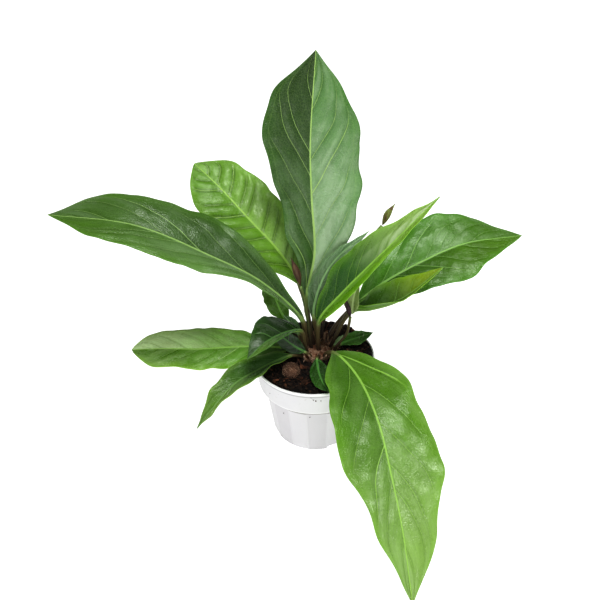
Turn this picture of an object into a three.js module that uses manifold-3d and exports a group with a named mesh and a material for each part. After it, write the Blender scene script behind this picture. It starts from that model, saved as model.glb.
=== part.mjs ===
// A jungle king anthurium in a white nursery pot.
// Millimetres, +Z up. The origin is the centre of the pot's base, and -Y is the plant's front.
import * as THREE from 'three';
import { mergeVertices } from 'three/addons/utils/BufferGeometryUtils.js';
import Module from 'manifold-3d';

const wasm = await Module();
wasm.setup();

// Driving dimensions of the pot
const POT_HEIGHT = 87;
const RIM_RADIUS = 60;
const RIM_THICKNESS = 2;
const BAND_HEIGHT = 27;
const BAND_RADIUS = 56.5;
const BODY_RADIUS = 51;
const BASE_RADIUS = 44.5;
const WALL = 1.4;
const FLOOR = 2;
const PANEL_COUNT = 16;
const PANEL_RELIEF = 0.7;
const PANEL_STEP_DEGREES = 1.5;
const ARCH_COUNT = 4;
const ARCH_WIDTH = 16;
const ARCH_HEIGHT = 4.5;

// Driving dimensions of what fills the pot
const CLEARANCE = 0.3;
const SOIL_EDGE = 84.5;
const SOIL_SHOULDER = 1.5;
const SOIL_HEAP = 5.5;
const SOIL_RISE = 5;
const SOIL_RISE_RADIUS = 26;
const SOIL_LUMP = 0.9;
const CROWN = { x: 3, y: 0.5, radius: 19.5, foot: 78, top: 95.5, ridges: 12 };
const BALL = { x: -23, y: -28, z: 90, radius: 8.5 };
const CHIPS = [
  { name: 'chip_front', x: -11, y: -42, z: 87, size: [4, 3, 2.4], turn: 20 },
  { name: 'chip_left', x: -39, y: -37, z: 86, size: [3.4, 2.4, 2], turn: 70 },
  { name: 'chip_middle', x: -25, y: -43, z: 86, size: [3, 2.2, 1.8], turn: -30 },
];

// Driving dimensions that all leaves share
const BLADE_THICKNESS = 0.8;
const VEIN_SWEEP = 0.13;
const QUILT = 0.7;
const STALK_STEPS = 4;
const STEM_SIDES = 8;
const LARGE_SPAN = [-1, -0.78, -0.45, -0.1, 0, 0.1, 0.45, 0.78, 1];
const SMALL_SPAN = [-1, -0.6, -0.15, 0, 0.15, 0.6, 1];
const SCALE_SPAN = [-1, 0, 1];
const SPANS = { large: LARGE_SPAN, small: SMALL_SPAN, scale: SCALE_SPAN };

const DEEP_GREEN = 0x335f2b;
const GREY_GREEN = 0x5c7f57;
const MID_GREEN = 0x3f7a26;
const BRIGHT_GREEN = 0x5a9a2c;
const FRESH_GREEN = 0x4f9316;
const PALE_GREEN = 0xb9cf8a;
const DARK_PURPLE = 0x3b2a2a;
const BRONZE_GREEN = 0x6d6a35;
const STALK_GREEN = 0x3d4a24;
const HUSK_BROWN = 0x7a5238;
const SOIL_BROWN = 0x2c1d15;
const POT_WHITE = 0xe6e6e8;

// Each leaf as it stands: its stalk's length and radius, the route of its midrib from the stalk's
// foot to the tip, and the way that its upper face looks at the foot and at the tip. Each half has
// its widths at even steps from the blade's foot to its tip, its fold up from the midrib in degrees
// at even steps along the blade, and its curl from the midrib to the margin.
const LEAVES = [
  {
    name: 'leaf_upright', colour: DEEP_GREEN, size: 'large', stalk: 55, radius: 2.3, veins: 7, wave: 2,
    midrib: [[1, 6, 84], [-4, 9, 120], [-6, 12, 145], [3, 20, 190], [2, 30, 240], [2, 39, 285], [9, 55, 361]],
    face: [[0.1, -1, 0.3], [0.1, -1, 0.2]],
    left: { widths: [10, 21, 26, 32, 39, 42, 27], fold: [24, 8], curl: -14 },
    right: { widths: [12, 26, 37, 45, 44, 40, 25], fold: [22, 8], curl: -14 },
  },
  {
    name: 'leaf_back_left', colour: BRIGHT_GREEN, size: 'large', stalk: 76, radius: 2.2, veins: 6, wave: 1.5,
    midrib: [[-1, 12, 84], [-5, 15, 125], [-13, 21, 160], [-33, 34, 190], [-54, 46, 211], [-85, 66, 241], [-108, 82, 259]],
    face: [[0.5, -1, 0.6], [0.1, -0.8, 1]],
    left: { widths: [14, 26, 33, 35, 34, 30, 20], fold: [22, 10], curl: -20 },
    right: { widths: [14, 26, 34, 36, 35, 30, 21], fold: [22, 10], curl: -20 },
  },
  {
    name: 'leaf_long_left', colour: DEEP_GREEN, size: 'large', stalk: 48, radius: 2.3, veins: 8, wave: 2,
    midrib: [[-5.5, 2, 84], [-8, 0, 110], [-11, -3, 132], [-46, -6, 176], [-89, -8, 206], [-149, -10, 239], [-221, -6, 250]],
    face: [[-0.4, -0.5, 1], [0, -0.3, 1]],
    left: { widths: [10, 14, 18, 25, 29, 25, 15], fold: [70, 22, 4], curl: -16 },
    right: { widths: [9, 20, 32, 38, 35, 34, 28], fold: [20, 6], curl: -16 },
  },
  {
    name: 'leaf_low_left', colour: BRIGHT_GREEN, size: 'small', stalk: 20, radius: 2, veins: 7, wave: 1.5,
    midrib: [[-11, -2.5, 84], [-15.5, -3, 94], [-28, -3, 98.5], [-64, -4, 103], [-115, -5, 103], [-147, -5, 105], [-177, -6, 106]],
    face: [[0, -0.45, 1], [0, -0.45, 1]],
    left: { widths: [10, 17, 23, 24, 24, 20, 15], fold: [16, 8], curl: -14 },
    right: { widths: [8, 14, 19, 22, 22, 20, 15], fold: [16, 8], curl: -14 },
  },
  {
    name: 'leaf_front_left', colour: DEEP_GREEN, size: 'small', stalk: 25, radius: 1.9, veins: 6, wave: 1.5,
    midrib: [[-9, -8, 84], [-11.5, -10, 93], [-18.5, -14, 98.5], [-29, -20.5, 100.5], [-54, -40, 102], [-76, -64, 104], [-106, -92, 82]],
    face: [[0.2, -0.3, 1], [0.1, -0.5, 1]],
    left: { widths: [5, 6, 8, 9, 7, 4, 2], fold: [40, 20], curl: -16 },
    right: { widths: [10, 12, 15, 16, 13, 10, 5], fold: [20, 10], curl: -16 },
  },
  {
    name: 'leaf_cupped', colour: DEEP_GREEN, size: 'small', stalk: 40, radius: 1.9, veins: 5, wave: 1,
    midrib: [[-6, -4, 84], [-9, -6, 105], [-12, -8, 122], [-24, -20, 130], [-43, -42, 136], [-60, -60, 131]],
    face: [[-0.2, -0.6, 1], [0, -0.5, 1]],
    left: { widths: [8, 12, 9], fold: [60, 40], curl: -20 },
    right: { widths: [20, 24, 13], fold: [20, 20], curl: -30 },
  },
  {
    name: 'leaf_behind_cupped', colour: MID_GREEN, size: 'small', stalk: 34, radius: 1.7, veins: 5, wave: 1,
    midrib: [[-8, 11, 84], [-12, 14, 98], [-22, 19, 108], [-32, 26, 124], [-38, 30, 142], [-46, 34, 160]],
    face: [[0.2, -1, 0.3], [0.2, -1, 0.3]],
    left: { widths: [8, 12, 9], fold: [14, 8], curl: -14 },
    right: { widths: [8, 11, 8], fold: [14, 8], curl: -14 },
  },
  {
    name: 'leaf_grey_left', colour: GREY_GREEN, size: 'small', stalk: 22, radius: 1.5, veins: 4, wave: 0.5,
    midrib: [[-11.5, 5, 84], [-13, 8, 97], [-15, 11, 106], [-21, 14, 115], [-29, 16, 125]],
    face: [[0.2, -1, 0.5], [0.2, -1, 0.5]],
    left: { widths: [5, 6, 4], fold: [20, 12], curl: -14 },
    right: { widths: [5, 6, 4], fold: [20, 12], curl: -14 },
  },
  {
    name: 'leaf_folded', colour: FRESH_GREEN, size: 'large', stalk: 46, radius: 2.2, veins: 8, wave: 1.5,
    midrib: [[5.5, -1.5, 84], [4, -4, 110], [6, -7, 134], [27, -11, 165], [49, -19, 196], [67, -29, 223], [98, -46, 270]],
    face: [[-0.6, -0.9, 0.5], [-0.6, -0.9, 0.5]],
    left: { widths: [13, 20, 22, 21, 18, 12, 5], fold: [24, 16], curl: -16 },
    right: { widths: [12, 15, 14, 11, 8, 6, 4], fold: [55, 45], curl: -16 },
  },
  {
    name: 'leaf_narrow_back', colour: GREY_GREEN, size: 'small', stalk: 46, radius: 1.9, veins: 6, wave: 1,
    midrib: [[7, 5.5, 84], [3, 5, 108], [1, 3, 140], [12, 4, 176], [26, 8, 194], [53, 16, 213]],
    face: [[-0.4, -1, 0.5], [-0.3, -1, 0.5]],
    left: { widths: [6, 9, 9, 8, 6, 4, 2], fold: [20, 10], curl: -14 },
    right: { widths: [6, 9, 10, 9, 7, 5, 3], fold: [20, 10], curl: -14 },
  },
  {
    name: 'leaf_large_right', colour: MID_GREEN, size: 'large', stalk: 62, radius: 2.3, veins: 8, wave: 2,
    midrib: [[11, 10.5, 84], [20, 13, 108], [44, 17, 135], [71, 22, 155], [106, 28, 172], [147, 35, 186], [204, 42, 189]],
    face: [[0.2, -0.6, 1], [0.1, -0.4, 1]],
    left: { widths: [14, 28, 37, 41, 38, 31, 16], fold: [24, 12], curl: -20 },
    right: { widths: [14, 24, 29, 33, 36, 28, 15], fold: [20, 8], curl: -20 },
  },
  {
    name: 'leaf_cup_right', colour: MID_GREEN, size: 'small', stalk: 56, radius: 2, veins: 6, wave: 0.8,
    midrib: [[14, 3.5, 84], [22, 3, 108], [37, 1, 137], [53, -6, 143], [80, -11, 155], [117, -10, 187]],
    face: [[0, -0.2, 1], [0, -0.4, 1]],
    left: { widths: [12, 18, 22, 22, 18, 12, 6], fold: [30, 20], curl: -16 },
    right: { widths: [14, 18, 18, 16, 12, 8, 4], fold: [70, 50], curl: -10 },
  },
  {
    name: 'leaf_small_right', colour: MID_GREEN, size: 'small', stalk: 16, radius: 1.5, veins: 4, wave: 0.5,
    midrib: [[18.5, -1, 84], [21, 1, 92.5], [26, 2, 96.5], [31, 5, 97], [41, 9, 98], [60, 14, 101]],
    face: [[0, -0.5, 1], [0, -0.5, 1]],
    left: { widths: [6, 8, 5], fold: [20, 10], curl: -14 },
    right: { widths: [6, 8, 5], fold: [20, 10], curl: -14 },
  },
  {
    name: 'leaf_seedling', colour: GREY_GREEN, size: 'small', stalk: 16, radius: 1.2, veins: 3, wave: 0.2,
    midrib: [[15, -1.5, 84], [17, -1.5, 93], [21, -1.5, 100], [25, -1, 105], [29, 0, 110]],
    face: [[0, -0.9, 0.6], [0, -0.9, 0.6]],
    left: { widths: [2, 2.5, 1.8], fold: [20, 10], curl: -14 },
    right: { widths: [2, 2.5, 1.8], fold: [20, 10], curl: -14 },
  },
  {
    name: 'leaf_front', colour: FRESH_GREEN, size: 'large', stalk: 24, radius: 2.3, veins: 8, wave: 2.5,
    midrib: [[9, -9, 84], [11, -12, 96], [19, -20, 103], [37, -52, 101], [50, -97, 90], [57, -135, 66], [62, -175, 41], [64, -216, 13]],
    face: [[0.1, -0.2, 1], [0.1, -0.6, 1]],
    left: { widths: [26, 37, 42, 44, 38, 28, 16], fold: [16, 6], curl: -14 },
    right: { widths: [28, 36, 41, 41, 32, 24, 11], fold: [16, 6], curl: -14 },
  },
  {
    name: 'leaf_front_small', colour: DEEP_GREEN, size: 'small', stalk: 19, radius: 1.6, veins: 4, wave: 0.5,
    midrib: [[3, -12, 84], [3, -14, 94], [2, -21, 98], [3, -36, 95], [6, -50, 93], [11, -62, 92]],
    face: [[-0.3, 0, 1], [-0.3, 0, 1]],
    left: { widths: [8, 9, 7], fold: [10, 6], curl: -14 },
    right: { widths: [8, 9, 7], fold: [10, 6], curl: -14 },
  },
  {
    name: 'leaf_under_cupped', colour: DEEP_GREEN, size: 'small', stalk: 19, radius: 1.6, veins: 4, wave: 0.5,
    midrib: [[-3, -10.5, 84], [-4, -12, 94], [-9, -13.5, 101], [-18, -13, 107.5], [-29, -11, 117], [-36, -11, 125]],
    face: [[-0.2, -0.9, 0.5], [-0.2, -0.9, 0.5]],
    left: { widths: [7, 9, 7], fold: [16, 10], curl: -14 },
    right: { widths: [7, 9, 7], fold: [16, 10], curl: -14 },
  },
];

// Flower stalks, each standing in the crown like a leaf's stalk
const STEMS = [
  {
    name: 'flower_stalk', colour: DARK_PURPLE, radius: 1.3, face: [[0, -1, 0], [0, -1, 0]],
    midrib: [[15, -5.5, 84], [20, -7, 99], [31, -11, 119], [33, -13, 131], [34, -14, 140]],
  },
  {
    name: 'bud_back_stalk', colour: STALK_GREEN, radius: 1.3, face: [[0, -1, 0], [0, -1, 0]],
    midrib: [[6.3, 11.5, 84], [12, 17, 120], [25, 25, 158], [47, 31, 186], [67, 34, 209]],
  },
  {
    name: 'bud_middle_stalk', colour: BRONZE_GREEN, radius: 1.3, face: [[0, -1, 0], [0, -1, 0]],
    midrib: [[-0.5, 0.5, 84], [-4, 1, 110], [-5.5, 1, 130], [-7.5, 2, 150], [-11, 3, 165]],
  },
];

// Closed buds and the open flower's spike: spindles that stand on the ends of their stalks
const BUDS = [
  {
    name: 'spadix', colour: DARK_PURPLE, face: [[0, -1, 0], [0, -1, 0]],
    midrib: [[34, -14.1, 140.3], [32, -15, 150], [28, -16, 163]], radii: [1.6, 2.1, 2.2, 2.1, 1.8, 1.1],
  },
  {
    name: 'bud_back', colour: BRONZE_GREEN, face: [[0, -1, 0], [0, -1, 0]],
    midrib: [[67.5, 34.1, 209.5], [71.5, 35, 219], [79, 36.5, 230]], radii: [1.7, 2.6, 3.1, 2.8, 1.9, 0.8],
  },
  {
    name: 'bud_middle', colour: BRONZE_GREEN, face: [[0, -1, 0], [0, -1, 0]],
    midrib: [[-11.2, 3, 165.6], [-14, 4, 180], [-19, 4, 196]], radii: [1.8, 2.9, 3.4, 3.1, 2.1, 0.8],
  },
];

const SPATHE = {
  name: 'spathe', colour: PALE_GREEN, size: 'small', stalk: 2, radius: 1, veins: 3, wave: 0.3,
  midrib: [[35, -11.6, 140], [36, -11, 144], [37, -10, 155], [39, -9, 166], [42, -9, 177]],
  face: [[-0.3, -1, 0.1], [-0.3, -1, 0.1]],
  left: { widths: [8, 7, 3], fold: [30, 10], curl: 10 },
  right: { widths: [6, 5, 3], fold: [20, 10], curl: 10 },
};

// Brown papery scales that still stand round the foot of the stalks
const SHEATHS = [
  [-13, 10, 14], [3.5, 18.5, 13], [13, 16, 15],
].map(([x, y, height]) => ({
  size: 'scale', stalk: 4, radius: 1, veins: 2, wave: 0.6,
  midrib: [
    [CROWN.x + 0.95 * (x - CROWN.x), CROWN.y + 0.95 * (y - CROWN.y), CROWN.top - 7],
    [x, y, CROWN.top - 2],
    [x + 0.12 * (x - CROWN.x), y + 0.12 * (y - CROWN.y), CROWN.top - 7 + height],
  ],
  face: [[CROWN.x - x, CROWN.y - y, 0], [CROWN.x - x, CROWN.y - y, 0]],
  left: { widths: [4, 3.5, 2], fold: [16, 16], curl: 20 },
  right: { widths: [4, 3.5, 2], fold: [16, 16], curl: 20 },
}));

function vector(values) {
  return new THREE.Vector3(values[0], values[1], values[2]);
}

function radians(degrees) {
  return (degrees * Math.PI) / 180;
}

function route(points) {
  return new THREE.CatmullRomCurve3(points.map(vector), false, 'centripetal');
}

// A closed skin over rings of equal count, with a fan at each end
function loft(rings, foot, tip) {
  const count = rings[0].length;
  const half = count / 2;
  const positions = [];
  const indices = [];
  for (const ring of rings) {
    for (const corner of ring) positions.push(corner.x, corner.y, corner.z);
  }
  positions.push(foot.x, foot.y, foot.z, tip.x, tip.y, tip.z);
  const footIndex = rings.length * count;
  const tipIndex = footIndex + 1;
  for (let row = 0; row < rings.length - 1; row += 1) {
    for (let column = 0; column < count; column += 1) {
      const next = (column + 1) % count;
      const a = row * count + column;
      const b = row * count + next;
      const c = a + count;
      const d = b + count;
      const across = column < half ? column : count - 2 - column;
      const leftHalf = across < (half - 1) / 2;
      const forward = column < half ? leftHalf : !leftHalf;
      if (forward) indices.push(a, b, c, b, d, c);
      else indices.push(a, b, d, a, d, c);
    }
  }
  const last = (rings.length - 1) * count;
  for (let column = 0; column < count; column += 1) {
    const next = (column + 1) % count;
    indices.push(footIndex, next, column);
    indices.push(tipIndex, last + column, last + next);
  }
  const geometry = new THREE.BufferGeometry();
  geometry.setAttribute('position', new THREE.Float32BufferAttribute(positions, 3));
  geometry.setIndex(indices);
  return geometry;
}

// The place of a leaf's or stalk's centre line, with its forward, upward and sideways directions
function frameAt(organ, share) {
  const centre = organ.curve.getPointAt(share);
  const ahead = organ.curve.getTangentAt(share);
  const face = vector(organ.face[0]).lerp(vector(organ.face[1]), share);
  const up = face.addScaledVector(ahead, -face.dot(ahead)).normalize();
  const side = new THREE.Vector3().crossVectors(ahead, up);
  return { centre, ahead, up, side };
}

// A round section, its corners in the order of a blade's section
function roundRing({ centre, up, side }, radius, count) {
  const ring = [];
  for (let corner = 0; corner < count; corner += 1) {
    const angle = Math.PI - (2 * Math.PI * (corner + 0.5)) / count;
    const place = centre.clone();
    place.addScaledVector(side, radius * Math.cos(angle));
    place.addScaledVector(up, radius * Math.sin(angle));
    ring.push(place);
  }
  return ring;
}

// The sections of a stalk, each turned like the next one up, so that its skin doesn't twist
function stalkRings(organ, radius, count) {
  const rings = [];
  let { up } = frameAt(organ, organ.stalkShare);
  for (let step = STALK_STEPS; step >= 0; step -= 1) {
    const { centre, ahead } = frameAt(organ, (organ.stalkShare * step) / STALK_STEPS);
    up = up.clone().addScaledVector(ahead, -up.dot(ahead)).normalize();
    const side = new THREE.Vector3().crossVectors(ahead, up);
    rings.unshift(roundRing({ centre, up, side }, radius, count));
  }
  return rings;
}

// A value between others that stand at even steps, on a smooth line through them
function between(values, share) {
  const steps = values.length - 1;
  const index = Math.min(Math.floor(share * steps), steps - 1);
  const part = share * steps - index;
  const from = values[index];
  const to = values[index + 1];
  const before = index > 0 ? values[index - 1] : 2 * from - to;
  const after = index + 2 <= steps ? values[index + 2] : 2 * to - from;
  const leave = (to - before) / 2;
  const arrive = (after - from) / 2;
  const cubic = 2 * from - 2 * to + leave + arrive;
  const square = 3 * to - 3 * from - 2 * leave - arrive;
  return ((cubic * part + square) * part + leave) * part + from;
}

// The middle of the blade's thickness. A row runs out from the midrib along a side vein, from
// across 0 to the margin at -1 or 1, and sweeps towards the tip.
function bladePoint(leaf, row, across) {
  const half = across < 0 ? leaf.left : leaf.right;
  const out = Math.abs(across);
  const along = row + VEIN_SWEEP * Math.sin(Math.PI * row) * out ** 1.5;
  const { centre, up, side } = frameAt(leaf, leaf.stalkShare + (1 - leaf.stalkShare) * along);
  const width = Math.max(between([leaf.radius, ...half.widths, 0], along), 0);
  const fold = radians(between(half.fold, along));
  const curl = radians(half.curl);
  const sideways = (width * (Math.sin(fold + curl * out) - Math.sin(fold))) / curl;
  const arched = (width * (Math.cos(fold) - Math.cos(fold + curl * out))) / curl;
  const middle = Math.sin(Math.PI * row);
  const margin = leaf.wave * out ** 3 * middle * Math.sin(5 * Math.PI * along + 2 * Math.sign(across));
  const quilt = QUILT * Math.sin(Math.PI * out) * middle * Math.cos(2 * Math.PI * leaf.veins * row);
  centre.addScaledVector(side, Math.sign(across) * sideways);
  return centre.addScaledVector(up, arched + margin - quilt);
}

function bladeNormal(leaf, row, across) {
  const step = 0.01;
  const place = Math.min(Math.max(row, step), 1 - 2 * step);
  const low = Math.max(across - step, -1);
  const high = Math.min(across + step, 1);
  const ahead = bladePoint(leaf, place + step, across).sub(bladePoint(leaf, place - step, across));
  const side = bladePoint(leaf, place, high).sub(bladePoint(leaf, place, low));
  return side.cross(ahead).normalize();
}

// The blade's section: its upper face from the left margin to the right, then its lower face back
function bladeRing(leaf, row) {
  const upper = [];
  const lower = [];
  for (const across of leaf.span) {
    const middle = bladePoint(leaf, row, across);
    const normal = bladeNormal(leaf, row, across);
    const rib = across === 0 ? leaf.radius * (1 - row) * 0.7 + 0.4 : 0;
    upper.push(middle.clone().addScaledVector(normal, BLADE_THICKNESS / 2 + rib * 0.3));
    lower.unshift(middle.clone().addScaledVector(normal, -BLADE_THICKNESS / 2 - rib));
  }
  return [...upper, ...lower];
}

function leafGeometry(leaf) {
  const count = leaf.span.length * 2;
  const rows = leaf.veins * 2;
  const rings = stalkRings(leaf, leaf.radius, count);
  for (let step = 1; step <= rows; step += 1) {
    const row = Math.min(step / rows, 0.985);
    rings.push(bladeRing(leaf, row));
  }
  return loft(rings, leaf.curve.getPointAt(0), leaf.curve.getPointAt(1));
}

function stemGeometry(stem) {
  const rings = stalkRings(stem, stem.radius, STEM_SIDES);
  return loft(rings, stem.curve.getPointAt(0), stem.curve.getPointAt(1));
}

// A spindle along its own route, each of its rings with its own radius
function budGeometry(bud) {
  const rings = bud.radii.map((radius, step) =>
    roundRing(frameAt(bud, (step + 0.5) / bud.radii.length), radius, STEM_SIDES)
  );
  return loft(rings, bud.curve.getPointAt(0), bud.curve.getPointAt(1));
}

// Columns round the pot: both edges of the step between two panels, and the middle of each panel
function potColumns() {
  const panel = 360 / PANEL_COUNT;
  const columns = [];
  for (let index = 0; index < PANEL_COUNT; index += 1) {
    const raised = index % 2 === 1;
    for (const turn of [-panel / 2 + PANEL_STEP_DEGREES, 0, panel / 2 - PANEL_STEP_DEGREES]) {
      columns.push({ angle: radians(index * panel + turn), raised });
    }
  }
  return columns;
}

// A turned shape: a closed profile from the axis back to the axis, with a radius that each column
// may change
function turned(profile, columns, radiusAt, heightAt) {
  const rings = profile.map((corner) =>
    columns.map((column) => {
      const radius = radiusAt(corner, column);
      const x = radius * Math.cos(column.angle);
      const y = radius * Math.sin(column.angle);
      return new THREE.Vector3(x, y, heightAt(corner, x, y));
    })
  );
  const foot = new THREE.Vector3(0, 0, profile[0].z);
  const last = profile[profile.length - 1];
  const top = new THREE.Vector3(0, 0, heightAt(last, 0, 0));
  return loft(rings, foot, top);
}

function insideRadius(z) {
  const bodyHeight = POT_HEIGHT - BAND_HEIGHT;
  if (z <= bodyHeight) {
    const outside = BASE_RADIUS + ((BODY_RADIUS - BASE_RADIUS) * z) / bodyHeight;
    return outside - PANEL_RELIEF - WALL;
  }
  return BAND_RADIUS + ((RIM_RADIUS - BAND_RADIUS) * (z - bodyHeight)) / BAND_HEIGHT - RIM_THICKNESS;
}

function potShell() {
  const bodyHeight = POT_HEIGHT - BAND_HEIGHT;
  const profile = [
    { r: BASE_RADIUS - 1.5, z: 0 },
    { r: BASE_RADIUS, z: 1.5, panel: true },
    { r: BODY_RADIUS, z: bodyHeight - 1, panel: true },
    { r: BAND_RADIUS - 0.6, z: bodyHeight },
    { r: BAND_RADIUS, z: bodyHeight + 0.8 },
    { r: RIM_RADIUS, z: POT_HEIGHT - 1 },
    { r: RIM_RADIUS - 0.6, z: POT_HEIGHT },
    { r: RIM_RADIUS - RIM_THICKNESS + 0.4, z: POT_HEIGHT },
    { r: insideRadius(bodyHeight + WALL + 1), z: bodyHeight + WALL + 1 },
    { r: insideRadius(bodyHeight - 1), z: bodyHeight + WALL - 1 },
    { r: insideRadius(FLOOR), z: FLOOR },
  ];
  const radiusAt = (corner, column) => corner.r - (corner.panel && !column.raised ? PANEL_RELIEF : 0);
  return turned(profile, potColumns(), radiusAt, (corner) => corner.z);
}

// The water drains through arches at the foot of every fourth panel
function drainArch(index) {
  const outline = new THREE.Shape();
  const spring = ARCH_HEIGHT * 0.3;
  outline.moveTo(-ARCH_WIDTH / 2, -1);
  outline.lineTo(ARCH_WIDTH / 2, -1);
  outline.lineTo(ARCH_WIDTH / 2, spring);
  outline.quadraticCurveTo(ARCH_WIDTH / 2.5, ARCH_HEIGHT, ARCH_WIDTH / 4, ARCH_HEIGHT);
  outline.lineTo(-ARCH_WIDTH / 4, ARCH_HEIGHT);
  outline.quadraticCurveTo(-ARCH_WIDTH / 2.5, ARCH_HEIGHT, -ARCH_WIDTH / 2, spring);
  const geometry = new THREE.ExtrudeGeometry(outline, { depth: 8, bevelEnabled: false, curveSegments: 3 });
  geometry.rotateX(Math.PI / 2);
  geometry.translate(0, -(BASE_RADIUS - 5), 0);
  geometry.rotateZ((2 * Math.PI * index) / ARCH_COUNT + (2 * Math.PI) / PANEL_COUNT);
  return geometry;
}

function pot() {
  let solid = toSolid(potShell());
  for (let index = 0; index < ARCH_COUNT; index += 1) solid = solid.subtract(toSolid(drainArch(index)));
  return toGeometry(solid);
}

// The top of the mix: heaped to the right and the back, raised round the crown, and lumpy
function soilHeight(x, y) {
  const heap = SOIL_HEAP * (0.5 + (0.75 * x + 0.66 * y) / (2 * RIM_RADIUS));
  const fromCrown = Math.hypot(x - CROWN.x, y - CROWN.y);
  const rise = SOIL_RISE * Math.exp(-((fromCrown / SOIL_RISE_RADIUS) ** 2));
  const coarse = Math.sin(0.55 * x + 1.3) * Math.cos(0.6 * y);
  const fine = 0.6 * Math.sin(1.1 * x + 0.9 * y);
  return SOIL_EDGE + heap + rise + SOIL_LUMP * (coarse + fine);
}

function soilBody() {
  const bodyHeight = POT_HEIGHT - BAND_HEIGHT;
  const side = (z, radius) => ({ r: radius - CLEARANCE - 0.1, z });
  const profile = [
    side(FLOOR + CLEARANCE, insideRadius(FLOOR)),
    side(bodyHeight + WALL - 1 + 2 * CLEARANCE, insideRadius(bodyHeight - 1)),
    side(bodyHeight + WALL + 1 + 2 * CLEARANCE, insideRadius(bodyHeight + WALL + 1)),
  ];
  const edge = insideRadius(SOIL_EDGE) - CLEARANCE - 0.1;
  profile.push({ r: edge, top: true, drop: SOIL_SHOULDER });
  for (const share of [0.95, 0.8, 0.62, 0.44]) profile.push({ r: edge * share, top: true, drop: 0 });
  const heightAt = (corner, x, y) => (corner.top ? soilHeight(x, y) - corner.drop : corner.z);
  return turned(profile, potColumns(), (corner) => corner.r, heightAt);
}

// A short thick rhizome, ridged by the scars of old leaves
function crownBody() {
  const profile = [
    { r: CROWN.radius - 0.6, z: CROWN.foot },
    { r: CROWN.radius, z: CROWN.foot + 8 },
    { r: CROWN.radius - 1, z: CROWN.top - 5 },
    { r: CROWN.radius - 5, z: CROWN.top - 1.5 },
    { r: CROWN.radius - 11, z: CROWN.top },
  ];
  const columns = Array.from({ length: 24 }, (_, index) => ({ angle: (2 * Math.PI * index) / 24 }));
  const radiusAt = (corner, column) => {
    const ridge = corner.z > CROWN.foot + 10 ? 0.6 * Math.cos(CROWN.ridges * column.angle) : 0;
    return corner.r + ridge - 0.6;
  };
  const geometry = turned(profile, columns, radiusAt, (corner) => corner.z);
  return geometry.translate(CROWN.x, CROWN.y, 0);
}

function crownPocket() {
  const radius = CROWN.radius + CLEARANCE;
  const height = 40;
  const geometry = new THREE.CylinderGeometry(radius, radius, height, 24);
  geometry.rotateX(Math.PI / 2);
  geometry.rotateZ(Math.PI / 2);
  return geometry.translate(CROWN.x, CROWN.y, CROWN.foot - CLEARANCE + height / 2);
}

// A plain hole for a stalk, a little wider and deeper than the stalk
function socket(organ) {
  const radius = (organ.radius + CLEARANCE) / Math.cos(Math.PI / STEM_SIDES);
  const rings = stalkRings(organ, radius, STEM_SIDES);
  const { centre, ahead } = frameAt(organ, 0);
  rings[0].forEach((corner) => corner.addScaledVector(ahead, -CLEARANCE));
  return loft(rings, centre.addScaledVector(ahead, -CLEARANCE), organ.curve.getPointAt(organ.stalkShare));
}

// A lump of fibre or bark, its skin pushed in and out by a formula
function lump(size, detail, relief) {
  const geometry = new THREE.IcosahedronGeometry(1, detail);
  const place = geometry.attributes.position;
  const corner = new THREE.Vector3();
  for (let index = 0; index < place.count; index += 1) {
    corner.fromBufferAttribute(place, index);
    const bump = 1 + relief * Math.sin(7 * corner.x + 2) * Math.cos(6 * corner.y) * Math.cos(5 * corner.z);
    corner.multiplyScalar(bump);
    place.setXYZ(index, corner.x * size[0], corner.y * size[1], corner.z * size[2]);
  }
  return geometry;
}

function ball(extra) {
  const radius = BALL.radius + extra;
  return lump([radius, radius, radius], 2, 0.06).translate(BALL.x, BALL.y, BALL.z);
}

function chip(spec, extra) {
  const geometry = lump(spec.size.map((side) => side + extra), 0, 0.2);
  geometry.rotateZ(radians(spec.turn));
  return geometry.translate(spec.x, spec.y, spec.z);
}

function soil() {
  let solid = toSolid(soilBody()).subtract(toSolid(crownPocket()));
  solid = solid.subtract(toSolid(ball(CLEARANCE * 1.2)));
  for (const spec of CHIPS) solid = solid.subtract(toSolid(chip(spec, CLEARANCE * 1.6)));
  return toGeometry(solid);
}

function crown(organs) {
  let solid = toSolid(crownBody());
  for (const sheath of SHEATHS) solid = solid.add(toSolid(leafGeometry(sheath)));
  for (const organ of organs) solid = solid.subtract(toSolid(socket(organ)));
  return toGeometry(largest(solid));
}

// A closed mesh as a solid that can be joined and cut
function toSolid(geometry) {
  const bare = new THREE.BufferGeometry();
  bare.setAttribute('position', geometry.attributes.position);
  if (geometry.index) bare.setIndex(geometry.index);
  const merged = mergeVertices(bare, 1e-4);
  const vertProperties = new Float32Array(merged.attributes.position.array);
  const triVerts = new Uint32Array(merged.index.array);
  return new wasm.Manifold(new wasm.Mesh({ numProp: 3, vertProperties, triVerts }));
}

function toGeometry(solid) {
  const mesh = solid.getMesh();
  const geometry = new THREE.BufferGeometry();
  geometry.setAttribute('position', new THREE.BufferAttribute(mesh.vertProperties, 3));
  geometry.setIndex(new THREE.BufferAttribute(mesh.triVerts, 1));
  return geometry;
}

// A hole can cut a scrap off the tip of a sheath, and such a scrap is dropped
function largest(solid) {
  const pieces = solid.decompose();
  pieces.sort((one, other) => other.volume() - one.volume());
  return pieces[0];
}

function addPiece(group, name, geometry, color, roughness) {
  const flat = geometry.index ? geometry.toNonIndexed() : geometry;
  flat.computeVertexNormals();
  const piece = new THREE.Mesh(flat, new THREE.MeshStandardMaterial({ color, roughness, metalness: 0 }));
  piece.name = name;
  group.add(piece);
}

function prepare(organ) {
  organ.curve = route(organ.midrib);
  organ.stalkShare = organ.stalk ? organ.stalk / organ.curve.getLength() : 1;
  organ.span = SPANS[organ.size];
}

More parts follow.
